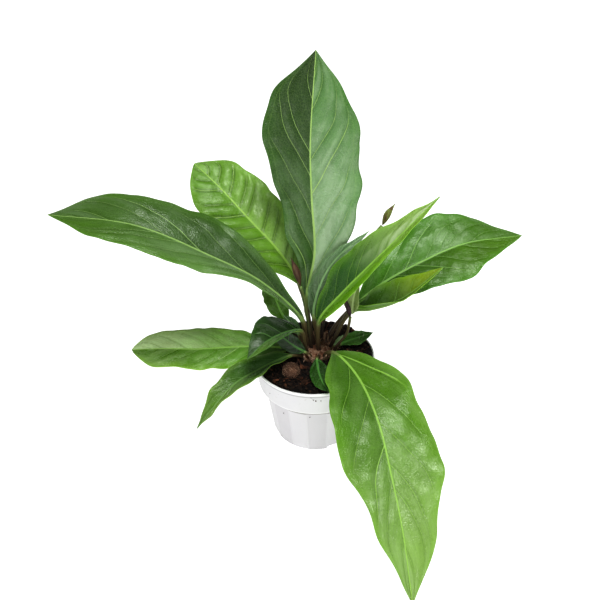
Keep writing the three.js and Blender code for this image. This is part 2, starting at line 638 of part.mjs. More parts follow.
const plant = new THREE.Group();
[...LEAVES, ...STEMS, ...BUDS, ...SHEATHS, SPATHE].forEach(prepare);
addPiece(plant, 'pot', pot(), POT_WHITE, 0.45);
addPiece(plant, 'soil', soil(), SOIL_BROWN, 1);
addPiece(plant, 'crown', crown([...LEAVES, ...STEMS]), HUSK_BROWN, 0.9);
for (const leaf of LEAVES) addPiece(plant, leaf.name, leafGeometry(leaf), leaf.colour, 0.35);
for (const stem of STEMS) addPiece(plant, stem.name, stemGeometry(stem), stem.colour, 0.6);
for (const bud of BUDS) addPiece(plant, bud.name, budGeometry(bud), bud.colour, 0.6);
addPiece(plant, SPATHE.name, leafGeometry(SPATHE), SPATHE.colour, 0.5);
addPiece(plant, 'fibre_ball', ball(0), HUSK_BROWN, 1);
for (const spec of CHIPS) addPiece(plant, spec.name, chip(spec, 0), HUSK_BROWN, 1);

export default plant;
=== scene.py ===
# The looks of a potted jungle king anthurium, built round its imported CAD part.
# Metres, +Z up, the origin at the centre of the pot's base, and -Y the plant's front.
import math
import random

import bmesh
import bpy
from mathutils import Matrix, Vector, noise


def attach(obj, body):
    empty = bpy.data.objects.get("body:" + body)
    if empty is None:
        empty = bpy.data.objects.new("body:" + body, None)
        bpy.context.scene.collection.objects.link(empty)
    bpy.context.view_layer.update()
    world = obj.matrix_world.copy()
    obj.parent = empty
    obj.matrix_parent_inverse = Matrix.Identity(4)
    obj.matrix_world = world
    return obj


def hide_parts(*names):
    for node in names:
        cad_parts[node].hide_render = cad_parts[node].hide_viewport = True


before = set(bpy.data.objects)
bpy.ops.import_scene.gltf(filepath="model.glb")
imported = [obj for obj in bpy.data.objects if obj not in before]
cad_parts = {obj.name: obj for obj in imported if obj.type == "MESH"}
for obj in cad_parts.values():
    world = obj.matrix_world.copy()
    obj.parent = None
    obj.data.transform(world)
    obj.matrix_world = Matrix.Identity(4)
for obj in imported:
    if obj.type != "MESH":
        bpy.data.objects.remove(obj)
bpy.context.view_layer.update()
random.seed(7)

MM = 0.001
WELD = 1e-6

# Driving dimensions of the pot, in millimetres as in the part
POT_HEIGHT = 87
RIM_RADIUS = 60
RIM_THICKNESS = 2
BAND_HEIGHT = 27
BAND_RADIUS = 56.5
BODY_RADIUS = 51
BASE_RADIUS = 44.5
WALL = 1.4
FLOOR = 2
PANEL_COUNT = 16
PANEL_RELIEF = 0.7
PANEL_STEP = math.radians(1.5)
ARCH_COUNT = 4
ARCH_WIDTH = 16
ARCH_HEIGHT = 4.5
ARCH_INSET = 5
ARCH_DEPTH = 8
ARCH_STEPS = 4
SPOKES_PER_PANEL = 16
SHARP_ANGLE = math.radians(32)

# Painted shade and highlights in the pot's colour, in millimetres: the painted shadow under the band as
# depths below the band, the painted highlight on the band's lower edge as heights above that edge, and
# the rest as heights over the floor: the painted shadow under the lip, the painted highlight on the lip,
# and where the dust lies
BAND_SHADOW = (7.8, 5.4)
EDGE_HIGHLIGHT = (0, 0.4, 1, 2)
LIP_SHADOW = (81.6, 83, 83.6, 84.6)
LIP_HIGHLIGHT = (84.6, 85.5)
DUSTY_FROM = 55
DUSTY_FOOT = 12

# Driving dimensions of what fills the pot
SOIL_EDGE = 84.5
SOIL_HEAP = 5.5
SOIL_RISE = 5
SOIL_RISE_RADIUS = 26
SOIL_LUMP = 0.9
SOIL_RADIUS = 56.8
SOIL_SHOULDER = 1.5
CROWN = Vector((3, 0.5, 0))
CROWN_RADIUS = 19.5
CROWN_TOP = 95.5
BALL = Vector((-23, -28, 90))
BALL_RADIUS = 8.5
CRUST_THICKNESS = 1.2
CRUST_GRID = (90, 300)
HUSK_COUNT = 26
HUSK_THICKNESS = 0.25
HUSK_GRID = (14, 8)
CRUMB_ROUGHNESS = 0.35
CLEAR_OF_CROWN = CROWN_RADIUS - 3
FIBRE_STEPS = 6
FIBRE_SIDES = 4

# The leaves' blades, stalks and buds: the thickness of a blade, and how finely each is divided
BLADE_THICKNESS = 0.5
LARGE_GRID = (150, 60)
SMALL_GRID = (80, 36)
STALK_ROWS = 90
STEM_ROWS = 40
STALK_SIDES = 14
STALK_END = 0.97
BUD_GRID = (48, 24)
FORWARD = [(0, -1, 0), (0, -1, 0)]


# A leaf's looks where its own entry gives no others
USUAL_LOOKS = dict(
    painted_foot_shade=0.3, sweep=0.2, sheen="a4b89a", belly="7c9a58", blunt=0, inner_painted_sheen=False, grid=SMALL_GRID,
)


def half(widths, fold, curl=-14):
    return dict(widths=widths, fold=fold, curl=curl)


# Each leaf as it stands, as in the part: its stalk's length and radius, its midrib's route from the
# stalk's foot to the tip, and how its upper face looks at the foot and at the tip. Each half has its
# widths at even steps, its fold up from the midrib in degrees and its curl. A blunt leaf is that much
# wider at its tip. The looks follow: the number of side veins, their sweep towards the tip, and how
# far the tissue bulges between them. The colours are the left half's near the foot and near the tip,
# the right half's, and the margin's. The painted sheen is how much pale sheen, a painted reflection,
# is mixed into the left and the right half, at the foot and at the tip. Both were chosen to look right
# in this studio from the front, so the colours too hold painted light: some of the light that a leaf
# reflects there, and the shade where a leaf lies under others. The painted foot shade is how much
# painted shade darkens the foot. An inner painted sheen keeps near the midrib, and the belly is what
# the underside's colour is mixed with.
LEAVES = [
    dict(
        name="leaf_upright", stalk=55, radius=2.3, wave=3, grid=LARGE_GRID,
        midrib=[(1, 6, 84), (-4, 9, 120), (-6, 12, 145), (3, 20, 190), (2, 30, 240), (2, 39, 285),
                (9, 55, 361)],
        face=[(0.1, -1, 0.3), (0.1, -1, 0.2)],
        left=half([10, 21, 26, 32, 39, 42, 27], [24, 8]),
        right=half([12, 26, 37, 45, 44, 40, 25], [22, 8]),
        colours=("2e620c", "284c12", "8ab480", "568a46", "4c7a30"),
        painted_sheen=((0.3, 0.05), (0.85, 0.3)), painted_foot_shade=0.05, vein="a9c877", veins=5, sweep=0.4, quilt=0.8,
    ),
    dict(
        name="leaf_back_left", stalk=76, radius=2.2, wave=1.5, grid=LARGE_GRID,
        midrib=[(-1, 12, 84), (-5, 15, 125), (-13, 21, 160), (-33, 34, 190), (-54, 46, 211), (-85, 66, 241),
                (-108, 82, 259)],
        face=[(0.5, -1, 0.6), (0.1, -0.8, 1)],
        left=half([14, 26, 33, 35, 34, 30, 20], [22, 10], -20),
        right=half([14, 26, 34, 36, 35, 30, 21], [22, 10], -20),
        colours=("78b032", "72a83e", "a4d470", "7cb048", "94c054"),
        painted_sheen=((0.15, 0.1), (0.25, 0.1)), vein="a6cc62", veins=8, sweep=0.16, quilt=1.9, blunt=4,
    ),
    dict(
        name="leaf_long_left", stalk=48, radius=2.3, wave=2, grid=LARGE_GRID,
        midrib=[(-5.5, 2, 84), (-8, 0, 110), (-11, -3, 132), (-46, -6, 176), (-89, -8, 206), (-149, -10, 239),
                (-221, -6, 250)],
        face=[(-0.4, -0.5, 1), (0, -0.3, 1)],
        left=half([10, 14, 18, 25, 29, 25, 15], [70, 22, 4], -16),
        right=half([9, 20, 32, 38, 35, 34, 28], [20, 6], -16),
        colours=("6a9450", "548426", "305c14", "4c7828", "6a9a34"),
        painted_sheen=((0.45, 0.05), (0.15, 0.2)), painted_foot_shade=0.5, belly="5c6048",
        vein="a3c478", veins=5, sweep=0.42, quilt=0.6,
    ),
    dict(
        name="leaf_low_left", stalk=20, radius=2, wave=1.5,
        midrib=[(-11, -2.5, 84), (-15.5, -3, 94), (-28, -3, 98.5), (-64, -4, 103), (-115, -5, 103),
                (-147, -5, 105), (-177, -6, 106)],
        face=[(0, -0.45, 1), (0, -0.45, 1)],
        left=half([10, 17, 23, 24, 24, 20, 15], [16, 8]),
        right=half([8, 14, 19, 22, 22, 20, 15], [16, 8]),
        colours=("68ac2a", "62982e", "84c454", "e0ffc4", "a8d454"),
        painted_sheen=((0.3, 0.3), (0.4, 0.8)), painted_foot_shade=0.85, sheen="b2c890",
        vein="a2cc68", veins=6, sweep=0.26, quilt=0.7, blunt=4,
    ),
    dict(
        name="leaf_front_left", stalk=25, radius=1.9, wave=1.5,
        midrib=[(-9, -8, 84), (-11.5, -10, 93), (-18.5, -14, 98.5), (-29, -20.5, 100.5), (-54, -40, 102),
                (-76, -64, 104), (-106, -92, 82)],
        face=[(0.2, -0.3, 1), (0.1, -0.5, 1)],
        left=half([5, 6, 8, 9, 7, 4, 2], [40, 20], -16),
        right=half([10, 12, 15, 16, 13, 10, 5], [20, 10], -16),
        colours=("447424", "84ac50", "386c20", "6c9a38", "9cc450"),
        painted_sheen=((0.1, 0.3), (0.05, 0.2)), vein="7da45c", veins=5, sweep=0.3, quilt=0.5,
    ),
    dict(
        name="leaf_cupped", stalk=40, radius=1.9, wave=1,
        midrib=[(-6, -4, 84), (-9, -6, 105), (-12, -8, 122), (-24, -20, 130), (-43, -42, 136),
                (-60, -60, 131)],
        face=[(-0.2, -0.6, 1), (0, -0.5, 1)],
        left=half([8, 12, 9], [60, 40], -20),
        right=half([20, 24, 13], [20, 20], -30),
        colours=("3c6c28", "6c9a38", "123606", "2c5810", "4c8030"),
        painted_sheen=((0.25, 0.25), (0.04, 0.12)), vein="6f9a56", veins=4, quilt=0.6,
    ),
    dict(
        name="leaf_behind_cupped", stalk=34, radius=1.7, wave=1,
        midrib=[(-8, 11, 84), (-12, 14, 98), (-22, 19, 108), (-32, 26, 124), (-38, 30, 142), (-46, 34, 160)],
        face=[(0.2, -1, 0.3), (0.2, -1, 0.3)],
        left=half([8, 12, 9], [14, 8]),
        right=half([8, 11, 8], [14, 8]),
        colours=("528420", "528020", "528420", "528020", "6a9c3c"),
        painted_sheen=((0.05, 0.1), (0.05, 0.1)), vein="7fae50", veins=5, quilt=0.5,
    ),
    dict(
        name="leaf_grey_left", stalk=22, radius=1.5, wave=0.5,
        midrib=[(-11.5, 5, 84), (-13, 8, 97), (-15, 11, 106), (-21, 14, 115), (-29, 16, 125)],
        face=[(0.2, -1, 0.5), (0.2, -1, 0.5)],
        left=half([5, 6, 4], [20, 12]),
        right=half([5, 6, 4], [20, 12]),
        colours=("557f4c", "5f8a54", "4c7640", "5a8450", "7aa46c"),
        painted_sheen=((0.2, 0.2), (0.2, 0.2)), vein="93b880", veins=4, quilt=0.3,
    ),
    dict(
        name="leaf_folded", stalk=46, radius=2.2, wave=1.5, grid=LARGE_GRID,
        midrib=[(5.5, -1.5, 84), (4, -4, 110), (6, -7, 134), (27, -11, 165), (49, -19, 196), (67, -29, 223),
                (98, -46, 270)],
        face=[(-0.6, -0.9, 0.5), (-0.6, -0.9, 0.5)],
        left=half([13, 20, 22, 21, 18, 12, 5], [24, 16], -16),
        right=half([12, 15, 14, 11, 8, 6, 4], [55, 45], -16),
        colours=("1c6400", "b0d880", "7cbc30", "a0d060", "98cc4c"),
        painted_sheen=((-0.8, 1.2), (0.1, 0.25)), inner_painted_sheen=True, sheen="ccdcb8", painted_foot_shade=0.2,
        vein="a4d060", veins=7, sweep=0.3, quilt=0.5,
    ),
    dict(
        name="leaf_narrow_back", stalk=46, radius=1.9, wave=1,
        midrib=[(7, 5.5, 84), (3, 5, 108), (1, 3, 140), (12, 4, 176), (26, 8, 194), (53, 16, 213)],
        face=[(-0.4, -1, 0.5), (-0.3, -1, 0.5)],
        left=half([6, 9, 9, 8, 6, 4, 2], [20, 10]),
        right=half([6, 9, 10, 9, 7, 5, 3], [20, 10]),
        colours=("3c6430", "7ca876", "36602a", "88b07e", "8cb07c"),
        painted_sheen=((0.2, 0.5), (0.2, 0.5)), vein="93b880", veins=6, quilt=0.4,
    ),
    dict(
        name="leaf_large_right", stalk=62, radius=2.3, wave=2, grid=LARGE_GRID,
        midrib=[(11, 10.5, 84), (20, 13, 108), (44, 17, 135), (71, 22, 155), (106, 28, 172), (147, 35, 186),
                (204, 42, 189)],
        face=[(0.2, -0.6, 1), (0.1, -0.4, 1)],
        left=half([14, 28, 37, 41, 38, 31, 16], [24, 12], -20),
        right=half([14, 24, 29, 33, 36, 28, 15], [20, 8], -20),
        colours=("569824", "568c20", "447814", "62981e", "68a83c"),
        painted_sheen=((0.22, 0.12), (0.05, 0.05)), vein="9cc870", veins=6, sweep=0.34, quilt=0.6,
    ),
    dict(
        name="leaf_cup_right", stalk=56, radius=2, wave=0.8,
        midrib=[(14, 3.5, 84), (22, 3, 108), (37, 1, 137), (53, -6, 143), (80, -11, 155), (117, -10, 187)],
        face=[(0, -0.2, 1), (0, -0.4, 1)],
        left=half([12, 18, 22, 22, 18, 12, 6], [30, 20], -16),
        right=half([14, 18, 18, 16, 12, 8, 4], [70, 50], -10),
        colours=("528a1c", "9cbc30", "3a7020", "8cb438", "98c840"),
        painted_sheen=((0.2, 0.2), (0.2, 0.2)), painted_foot_shade=0.45, belly="7aa632", vein="8fbc60", veins=4, quilt=0.5,
    ),
    dict(
        name="leaf_small_right", stalk=16, radius=1.5, wave=0.5,
        midrib=[(18.5, -1, 84), (21, 1, 92.5), (26, 2, 96.5), (31, 5, 97), (41, 9, 98), (60, 14, 101)],
        face=[(0, -0.5, 1), (0, -0.5, 1)],
        left=half([6, 8, 5], [20, 10]),
        right=half([6, 8, 5], [20, 10]),
        colours=("4c8a24", "5c9440", "4c8824", "5c9440", "6ca850"),
        painted_sheen=((0.1, 0.1), (0.1, 0.1)), painted_foot_shade=0.2, vein="6fa850", veins=4, quilt=0.3,
    ),
    dict(
        name="leaf_seedling", stalk=16, radius=1.2, wave=0.2,
        midrib=[(15, -1.5, 84), (17, -1.5, 93), (21, -1.5, 100), (25, -1, 105), (29, 0, 110)],
        face=[(0, -0.9, 0.6), (0, -0.9, 0.6)],
        left=half([2, 2.5, 1.8], [20, 10]),
        right=half([2, 2.5, 1.8], [20, 10]),
        colours=("6c9058", "7c9c64", "6c9058", "7c9c64", "8cb07a"),
        painted_sheen=((0.2, 0.2), (0.2, 0.2)), painted_foot_shade=0.1, vein="a5c090", veins=3, quilt=0.2,
    ),
    dict(
        name="leaf_front", stalk=24, radius=2.3, wave=3, grid=LARGE_GRID,
        midrib=[(9, -9, 84), (11, -12, 96), (19, -20, 103), (37, -52, 101), (50, -97, 90), (57, -135, 66),
                (62, -175, 41), (64, -216, 13)],
        face=[(0.1, -0.2, 1), (0.1, -0.6, 1)],
        left=half([26, 37, 42, 44, 38, 28, 16], [16, 6]),
        right=half([28, 36, 41, 41, 32, 24, 11], [16, 6]),
        colours=("609c1c", "a0cc70", "528e14", "98c46c", "8cc040"),
        painted_sheen=((0.12, 0.42), (0.1, 0.35)), painted_foot_shade=0.2, sheen="b4cc98",
        vein="a8d468", veins=5, sweep=0.36, quilt=0.7,
    ),
    # Partly its own dark green and partly painted shade: this leaf lies low, in the shade of the leaves over
    # it.
    dict(
        name="leaf_front_small", stalk=19, radius=1.6, wave=0.5,
        midrib=[(3, -12, 84), (3, -14, 94), (2, -21, 98), (3, -36, 95), (6, -50, 93), (11, -62, 92)],
        face=[(-0.3, 0, 1), (-0.3, 0, 1)],
        left=half([8, 9, 7], [10, 6]),
        right=half([8, 9, 7], [10, 6]),
        colours=("1e4c0c", "3a7020", "2a5c14", "3a7020", "4f8a38"),
        painted_sheen=((0.05, 0.1), (0.05, 0.1)), painted_foot_shade=0.2, vein="5f9a48", veins=4, quilt=0.3,
    ),
    # Partly its own dark green and partly painted shade: this leaf lies under the cupped leaf, in its shade.
    dict(
        name="leaf_under_cupped", stalk=19, radius=1.6, wave=0.5,
        midrib=[(-3, -10.5, 84), (-4, -12, 94), (-9, -13.5, 101), (-18, -13, 107.5), (-29, -11, 117),
                (-36, -11, 125)],
        face=[(-0.2, -0.9, 0.5), (-0.2, -0.9, 0.5)],
        left=half([7, 9, 7], [16, 10]),
        right=half([7, 9, 7], [16, 10]),
        colours=("0a2a02", "143c06", "0a2a02", "143c06", "2c6018"),
        painted_sheen=((0.05, 0.1), (0.05, 0.1)), painted_foot_shade=0.2, vein="5a8a48", veins=4, quilt=0.4,
    ),
]

STEMS = [
    dict(
        name="flower_stalk", radius=1.3, face=FORWARD, finish="purple",
        midrib=[(15, -5.5, 84), (20, -7, 99), (31, -11, 119), (33, -13, 131), (34, -14, 140)],
    ),
    dict(
        name="bud_back_stalk", radius=1.3, face=FORWARD, finish="green",
        midrib=[(6.3, 11.5, 84), (12, 17, 120), (25, 25, 158), (47, 31, 186), (67, 34, 209)],
    ),
    dict(
        name="bud_middle_stalk", radius=1.3, face=FORWARD, finish="green",
        midrib=[(-0.5, 0.5, 84), (-4, 1, 110), (-5.5, 1, 130), (-7.5, 2, 150), (-11, 3, 165)],
    ),
]

BUDS = [
    dict(
        name="spadix", face=FORWARD, radii=[1.6, 2.1, 2.2, 2.1, 1.8, 1.1],
        midrib=[(34, -14.1, 140.3), (32, -15, 150), (28, -16, 163)],
    ),
    dict(
        name="bud_back", face=FORWARD, radii=[1.7, 2.6, 3.1, 2.8, 1.9, 0.8],
        midrib=[(67.5, 34.1, 209.5), (71.5, 35, 219), (79, 36.5, 230)],
    ),
    dict(
        name="bud_middle", face=FORWARD, radii=[1.8, 2.9, 3.4, 3.1, 2.1, 0.8],
        midrib=[(-11.2, 3, 165.6), (-14, 4, 180), (-19, 4, 196)],
    ),
]

SPATHE = dict(
    name="spathe", stalk=2, radius=1, wave=0.3,
    midrib=[(35, -11.6, 140), (36, -11, 144), (37, -10, 155), (39, -9, 166), (42, -9, 177)],
    face=[(-0.3, -1, 0.1), (-0.3, -1, 0.1)],
    left=half([8, 7, 3], [30, 10], 10),
    right=half([6, 5, 3], [20, 10], 10),
    colours=("a4bc74", "8fb050", "98b468", "8fb050", "bcd08c"),
    painted_sheen=((0.2, 0.2), (0.2, 0.2)), painted_foot_shade=0.0, vein="c4d898", veins=3, sweep=0.4, quilt=0.1,
)


def linear(code):
    """A colour as the shader wants it, from its hexadecimal code."""
    values = [int(code[place:place + 2], 16) / 255 for place in (0, 2, 4)]
    return tuple(v / 12.92 if v <= 0.04045 else ((v + 0.055) / 1.055) ** 2.4 for v in values) + (1,)


class Value:
    """A number that changes over a surface. An expression on it adds its Math nodes."""

    def __init__(self, shader, socket):
        self.shader = shader
        self.socket = socket

    def math(self, operation, *values):
        sockets = dict(enumerate(values))
        return self.shader.node("Math", {"operation": operation}, sockets)

    def __add__(self, other):
        return self.math("ADD", self, other)

    def __radd__(self, other):
        return self.math("ADD", other, self)

    def __sub__(self, other):
        return self.math("SUBTRACT", self, other)

    def __rsub__(self, other):
        return self.math("SUBTRACT", other, self)

    def __mul__(self, other):
        return self.math("MULTIPLY", self, other)

    def __rmul__(self, other):
        return self.math("MULTIPLY", other, self)

    def __truediv__(self, other):
        return self.math("DIVIDE", self, other)

    def __abs__(self):
        return self.math("ABSOLUTE", self)

    def fraction(self):
        return self.math("FRACT", self)

    def least(self, other):
        return self.math("MINIMUM", self, other)

    def rises(self, low, high):
        """0 below low, 1 above high, and a smooth step between them."""
        settings = {"interpolation_type": "SMOOTHSTEP"}
        sockets = {"Value": self, "From Min": low, "From Max": high}
        return self.shader.node("MapRange", settings, sockets)

    def strip(self, low, full, fading, high):
        """1 between full and fading, and 0 below low and above high."""
        return self.rises(low, full) * (1 - self.rises(fading, high))


class Shader:
    """One material: its nodes are added by one method, and its maths by expressions."""

    def __init__(self, name):
        self.material = bpy.data.materials.new(name)
        self.material.use_nodes = True
        self.tree = self.material.node_tree
        self.tree.nodes.clear()

    def node(self, kind, settings=None, sockets=None, output=0):
        """Adds a node, sets its settings, then feeds its sockets with values or links."""
        added = self.tree.nodes.new("ShaderNode" + kind)
        for name, setting in (settings or {}).items():
            setattr(added, name, setting)
        for name, value in (sockets or {}).items():
            if isinstance(value, Value):
                self.tree.links.new(value.socket, added.inputs[name])
            else:
                added.inputs[name].default_value = value
        return Value(self, added.outputs[output]) if added.outputs else None

    def attribute(self, name):
        return self.node("Attribute", {"attribute_name": name}, output="Fac")

    def place(self):
        return self.node("TexCoord", output="Object")

    def stretched(self, scale, turn=(0, 0, 0)):
        return self.node("Mapping", None, {"Vector": self.place(), "Scale": scale, "Rotation": turn})

    def noise(self, scale, detail=2.0, roughness=0.5, place=None):
        sockets = {"Vector": place or self.place(), "Scale": scale, "Detail": detail, "Roughness": roughness}
        return self.node("TexNoise", None, sockets)

    def cells(self, scale, feature="F1"):
        sockets = {"Vector": self.place(), "Scale": scale}
        return self.node("TexVoronoi", {"feature": feature}, sockets, "Distance")

    def blend(self, share, low, high):
        """A colour between two others. A plain colour is written as its hexadecimal code."""
        settings = {"data_type": "RGBA", "blend_type": "MIX", "clamp_factor": True}
        low = linear(low) if isinstance(low, str) else low
        high = linear(high) if isinstance(high, str) else high
        return self.node("Mix", settings, {0: share, 6: low, 7: high}, 2)

    def brightened(self, colour, value, hue=0.5, saturation=1.0):
        sockets = {"Color": colour, "Value": value, "Hue": hue, "Saturation": saturation}
        return self.node("HueSaturation", None, sockets)

    def bump(self, height, distance, strength=1.0):
        sockets = {"Height": height, "Distance": distance, "Strength": strength}
        return self.node("Bump", None, sockets)

    def finish(self, colour, roughness, normal=None, **fixed):
        """The surface itself: what varies is linked, and what doesn't is set on its sockets."""
        sockets = {"Base Color": colour, "Roughness": roughness}
        if normal:
            sockets["Normal"] = normal
        for name, value in fixed.items():
            sockets[name.replace("_", " ")] = value
        surface = self.node("BsdfPrincipled", None, sockets)
        self.node("OutputMaterial", None, {"Surface": surface})
        return self.material


def blade_material(leaf, under):
    """A leaf's skin: two halves, side veins, a collective vein, a fine net, a painted pale sheen and painted
    shade.
    """
    shader = Shader(leaf["name"] + ("_under" if under else "_upper"))
    left, left_tip, right, right_tip, margin = leaf["colours"]
    left_painted_sheen, right_painted_sheen = leaf["painted_sheen"]
    along = shader.attribute("along")
    across = shader.attribute("across")
    span = abs(shader.attribute("span"))
    out = abs(across)
    cloud = shader.noise(30, 3)
    mottle = shader.noise(420, 2)
    net = shader.cells(520, "DISTANCE_TO_EDGE")
    vein = shader.attribute("vein")
    broad_streak = shader.node("CombineXYZ", None, {0: vein * 1.6, 1: out * 1.5, 2: cloud * 2})
    fine_streak = shader.node("CombineXYZ", None, {0: vein * 14, 1: out * 3, 2: cloud * 3})
    fine_lines = shader.noise(1.0, 3, 0.6, fine_streak)
    phase = (vein + (cloud - 0.5) * 0.08).fraction()
    near = phase.least(1 - phase)
    reach = 1 - out.rises(0.7, 0.92)
    side_vein = (1 - near.rises(0.006, 0.026)) * reach
    painted_groove_shade = (1 - near.rises(0.02, 0.2)) * reach
    rim_vein = (1 - abs(out - 0.87).rises(0.004, 0.016)) * 0.4
    rib_width = 1.35 - along
    rib = 1 - (span / rib_width).rises(0.75, 1.1)

    on_right = across.rises(-0.04, 0.04)
    towards_tip = along.rises(0.3, 0.9)
    left_colour = shader.blend(towards_tip, left, left_tip)
    right_colour = shader.blend(towards_tip, right, right_tip)
    colour = shader.blend(on_right, left_colour, right_colour)
    value = 0.26 + cloud * 0.42 + mottle * 0.14 + fine_lines * 0.36
    colour = shader.brightened(colour, value, hue=0.49, saturation=1.06)
    # Painted shade: the colour darkens towards the blade's foot.
    colour = shader.blend((1 - along.rises(0.0, 0.3)) * leaf["painted_foot_shade"], colour, "0e2c06")
    # Painted shade in the grooves along the side veins, as deep as the tissue bulges between them.
    colour = shader.blend(painted_groove_shade * min(0.3 * leaf["quilt"], 0.45), colour, "143408")
    # Painted reflection: a pale sheen mixed into each half's colour, in patches and on the crests between the
    # side veins.
    left_share = left_painted_sheen[0] + along * (left_painted_sheen[1] - left_painted_sheen[0])
    right_share = right_painted_sheen[0] + along * (right_painted_sheen[1] - right_painted_sheen[0])
    painted_sheen = left_share * (1 - on_right) + right_share * on_right
    streaks = shader.noise(1.0, 4, 0.6, broad_streak)
    painted_sheen_patches = (streaks * 0.7 + shader.noise(75, 4) * 0.3).rises(0.42, 0.6)
    painted_sheen_crest = near.rises(0.05, 0.4)
    painted_sheen = painted_sheen * (0.1 + painted_sheen_patches * 0.6 + painted_sheen_crest * 0.3)
    if leaf["inner_painted_sheen"]:
        painted_sheen = painted_sheen * (1 - out.rises(0.42, 0.52))
    colour = shader.blend(painted_sheen, colour, leaf["sheen"])
    colour = shader.blend(out.rises(0.6, 1.0) * 0.25 + out.rises(0.95, 1.0) * 0.4, colour, margin)
    colour = shader.blend((1 - net.rises(0.02, 0.14)) * 0.08, colour, leaf["vein"])
    colour = shader.blend(side_vein * 0.72 + rim_vein * 0.2, colour, leaf["vein"])
    colour = shader.blend(rib * 0.85, colour, leaf["vein"])
    if under:
        colour = shader.blend(0.45, colour, leaf["belly"])
    wrinkle = shader.noise(190, 3, 0.55)
    relief = wrinkle * 1.6 + fine_lines * 1.4 + net.rises(0.0, 0.2) * 0.3 + mottle * 0.35
    relief = relief - side_vein * 0.5 + rib * 0.5
    roughness = 0.16 + mottle * 0.08 + cloud * 0.16 + rib * 0.15 + (0.2 if under else 0.0)
    normal = shader.bump(relief, 0.25 * MM, 0.8)
    return shader.finish(colour, roughness, normal, Specular_IOR_Level=0.2 if under else 0.5)


def stalk_material(name, foot, top, rib):
    """A leaf stalk: dark at its foot, greener upwards, and pale where it is the midrib's back."""
    shader = Shader(name)
    along = shader.attribute("along")
    streaks = shader.noise(60, 4, 0.6, shader.stretched((6, 6, 1)))
    specks = shader.cells(700)
    colour = shader.blend(along.rises(-0.95, -0.1), foot, top)
    colour = shader.blend(along.rises(-0.1, 0.1), colour, rib)
    colour = shader.brightened(colour, 0.65 + streaks * 0.7)
    colour = shader.blend((1 - specks.rises(0.1, 0.3)) * 0.25, colour, "93a070")
    normal = shader.bump(streaks + specks * 0.3, 0.2 * MM, 0.6)
    return shader.finish(colour, 0.36 + streaks * 0.2, normal)


def bud_material(name, dark, light):
    shader = Shader(name)
    streaks = shader.noise(140, 4, 0.6, shader.stretched((3, 3, 0.6)))
    specks = shader.noise(900, 2)
    colour = shader.blend(streaks.rises(0.35, 0.65), dark, light)
    colour = shader.brightened(colour, 0.75 + specks * 0.5)
    normal = shader.bump(streaks * 0.5 + specks * 0.5, 0.2 * MM, 0.6)
    return shader.finish(colour, 0.4 + specks * 0.2, normal)


def spadix_material():
    shader = Shader("spadix_florets")
    florets = shader.cells(1100)
    streaks = shader.noise(200, 3)
    colour = shader.blend(florets.rises(0.15, 0.6), "5a3a3c", "2c1a1e")
    colour = shader.brightened(colour, 0.7 + streaks * 0.6)
    normal = shader.bump(1 - florets, 0.3 * MM, 0.8)
    return shader.finish(colour, 0.55 + streaks * 0.1, normal)


def plastic_material():
    """White polypropylene: dust rubbed into it, painted shade under the band, under the lip and on the
    set-back panels, and painted highlights on the lip and the band's edge.
    """
    shader = Shader("pot_plastic")
    east, north, height = [shader.node("SeparateXYZ", None, {0: shader.place()}, axis) for axis in "XYZ"]
    haze = shader.noise(16, 3)
    grain = shader.noise(900, 2)
    scuffs = shader.noise(70, 5, 0.7, shader.stretched((1, 1, 5)))
    dust = shader.noise(240, 4, 0.65).rises(0.6, 0.74)
    height = height / MM
    edge = POT_HEIGHT - BAND_HEIGHT
    near_rim = height.rises(DUSTY_FROM, POT_HEIGHT)
    turn = shader.node("Math", {"operation": "ARCTAN2"}, {0: north, 1: east})
    panel = (turn * (PANEL_COUNT / (4 * math.pi)) + PANEL_COUNT).fraction()
    set_back = 1 - (panel.rises(0.235, 0.265) - panel.rises(0.735, 0.765))
    on_body = 1 - height.rises(edge - 1.5, edge)
    colour = shader.blend(haze.rises(0.3, 0.7), "e0dfe1", "d8d7da")
    # The body is darker than the band, and its set-back panels darker still with painted shade.
    colour = shader.blend(on_body * (0.2 + set_back * 0.25), colour, "c0bdc0")
    # Painted shadow under the band's overhang, deepened a little where the dust lies.
    band_shadow = height.rises(edge - BAND_SHADOW[0], edge - BAND_SHADOW[1]) * on_body
    colour = shader.blend(band_shadow * (0.75 + dust * 0.2), colour, "6f675e")
    # Painted shadow: a grey line under the lip's bead.
    colour = shader.blend(height.strip(*LIP_SHADOW) * 0.5, colour, "8f8d8f")
    # Painted highlights: near white on the lip and along the band's lower edge.
    edge_highlight = height.strip(*[edge + step for step in EDGE_HIGHLIGHT])
    colour = shader.blend((edge_highlight + height.rises(*LIP_HIGHLIGHT)) * 0.7, colour, "f6f6f6")
    colour = shader.blend(scuffs.rises(0.62, 0.75) * 0.15, colour, "b0aaa6")
    colour = shader.blend(dust * near_rim * 0.25, colour, "8a7866")
    colour = shader.blend((1 - height.rises(0, DUSTY_FOOT)) * dust * 0.4, colour, "8a7866")
    normal = shader.bump(grain * 0.5 + haze, 0.3 * MM, 0.3)
    return shader.finish(colour, 0.34 + scuffs * 0.16, normal)


def soil_material(name, dark, light, tone_share):
    """Potting mix: near black between the crumbs, with brown fibres and a tone for each crumb."""
    shader = Shader(name)
    coarse = shader.noise(160, 5, 0.7)
    fine = shader.noise(1300, 4, 0.7)
    fibres = shader.noise(420, 3, 0.6, shader.stretched((1, 5, 2), (0.3, 0.2, 0.6)))
    tone = shader.attribute("tone") * tone_share
    colour = shader.blend((coarse.rises(0.42, 0.7) * 0.6 + tone), dark, light)
    colour = shader.blend(fibres.rises(0.6, 0.72) * 0.5, colour, "6b4630")
    colour = shader.brightened(colour, 0.5 + fine)
    normal = shader.bump(fine + fibres * 0.7 + coarse, 0.8 * MM, 0.9)
    return shader.finish(colour, 0.85 + fine * 0.15, normal)


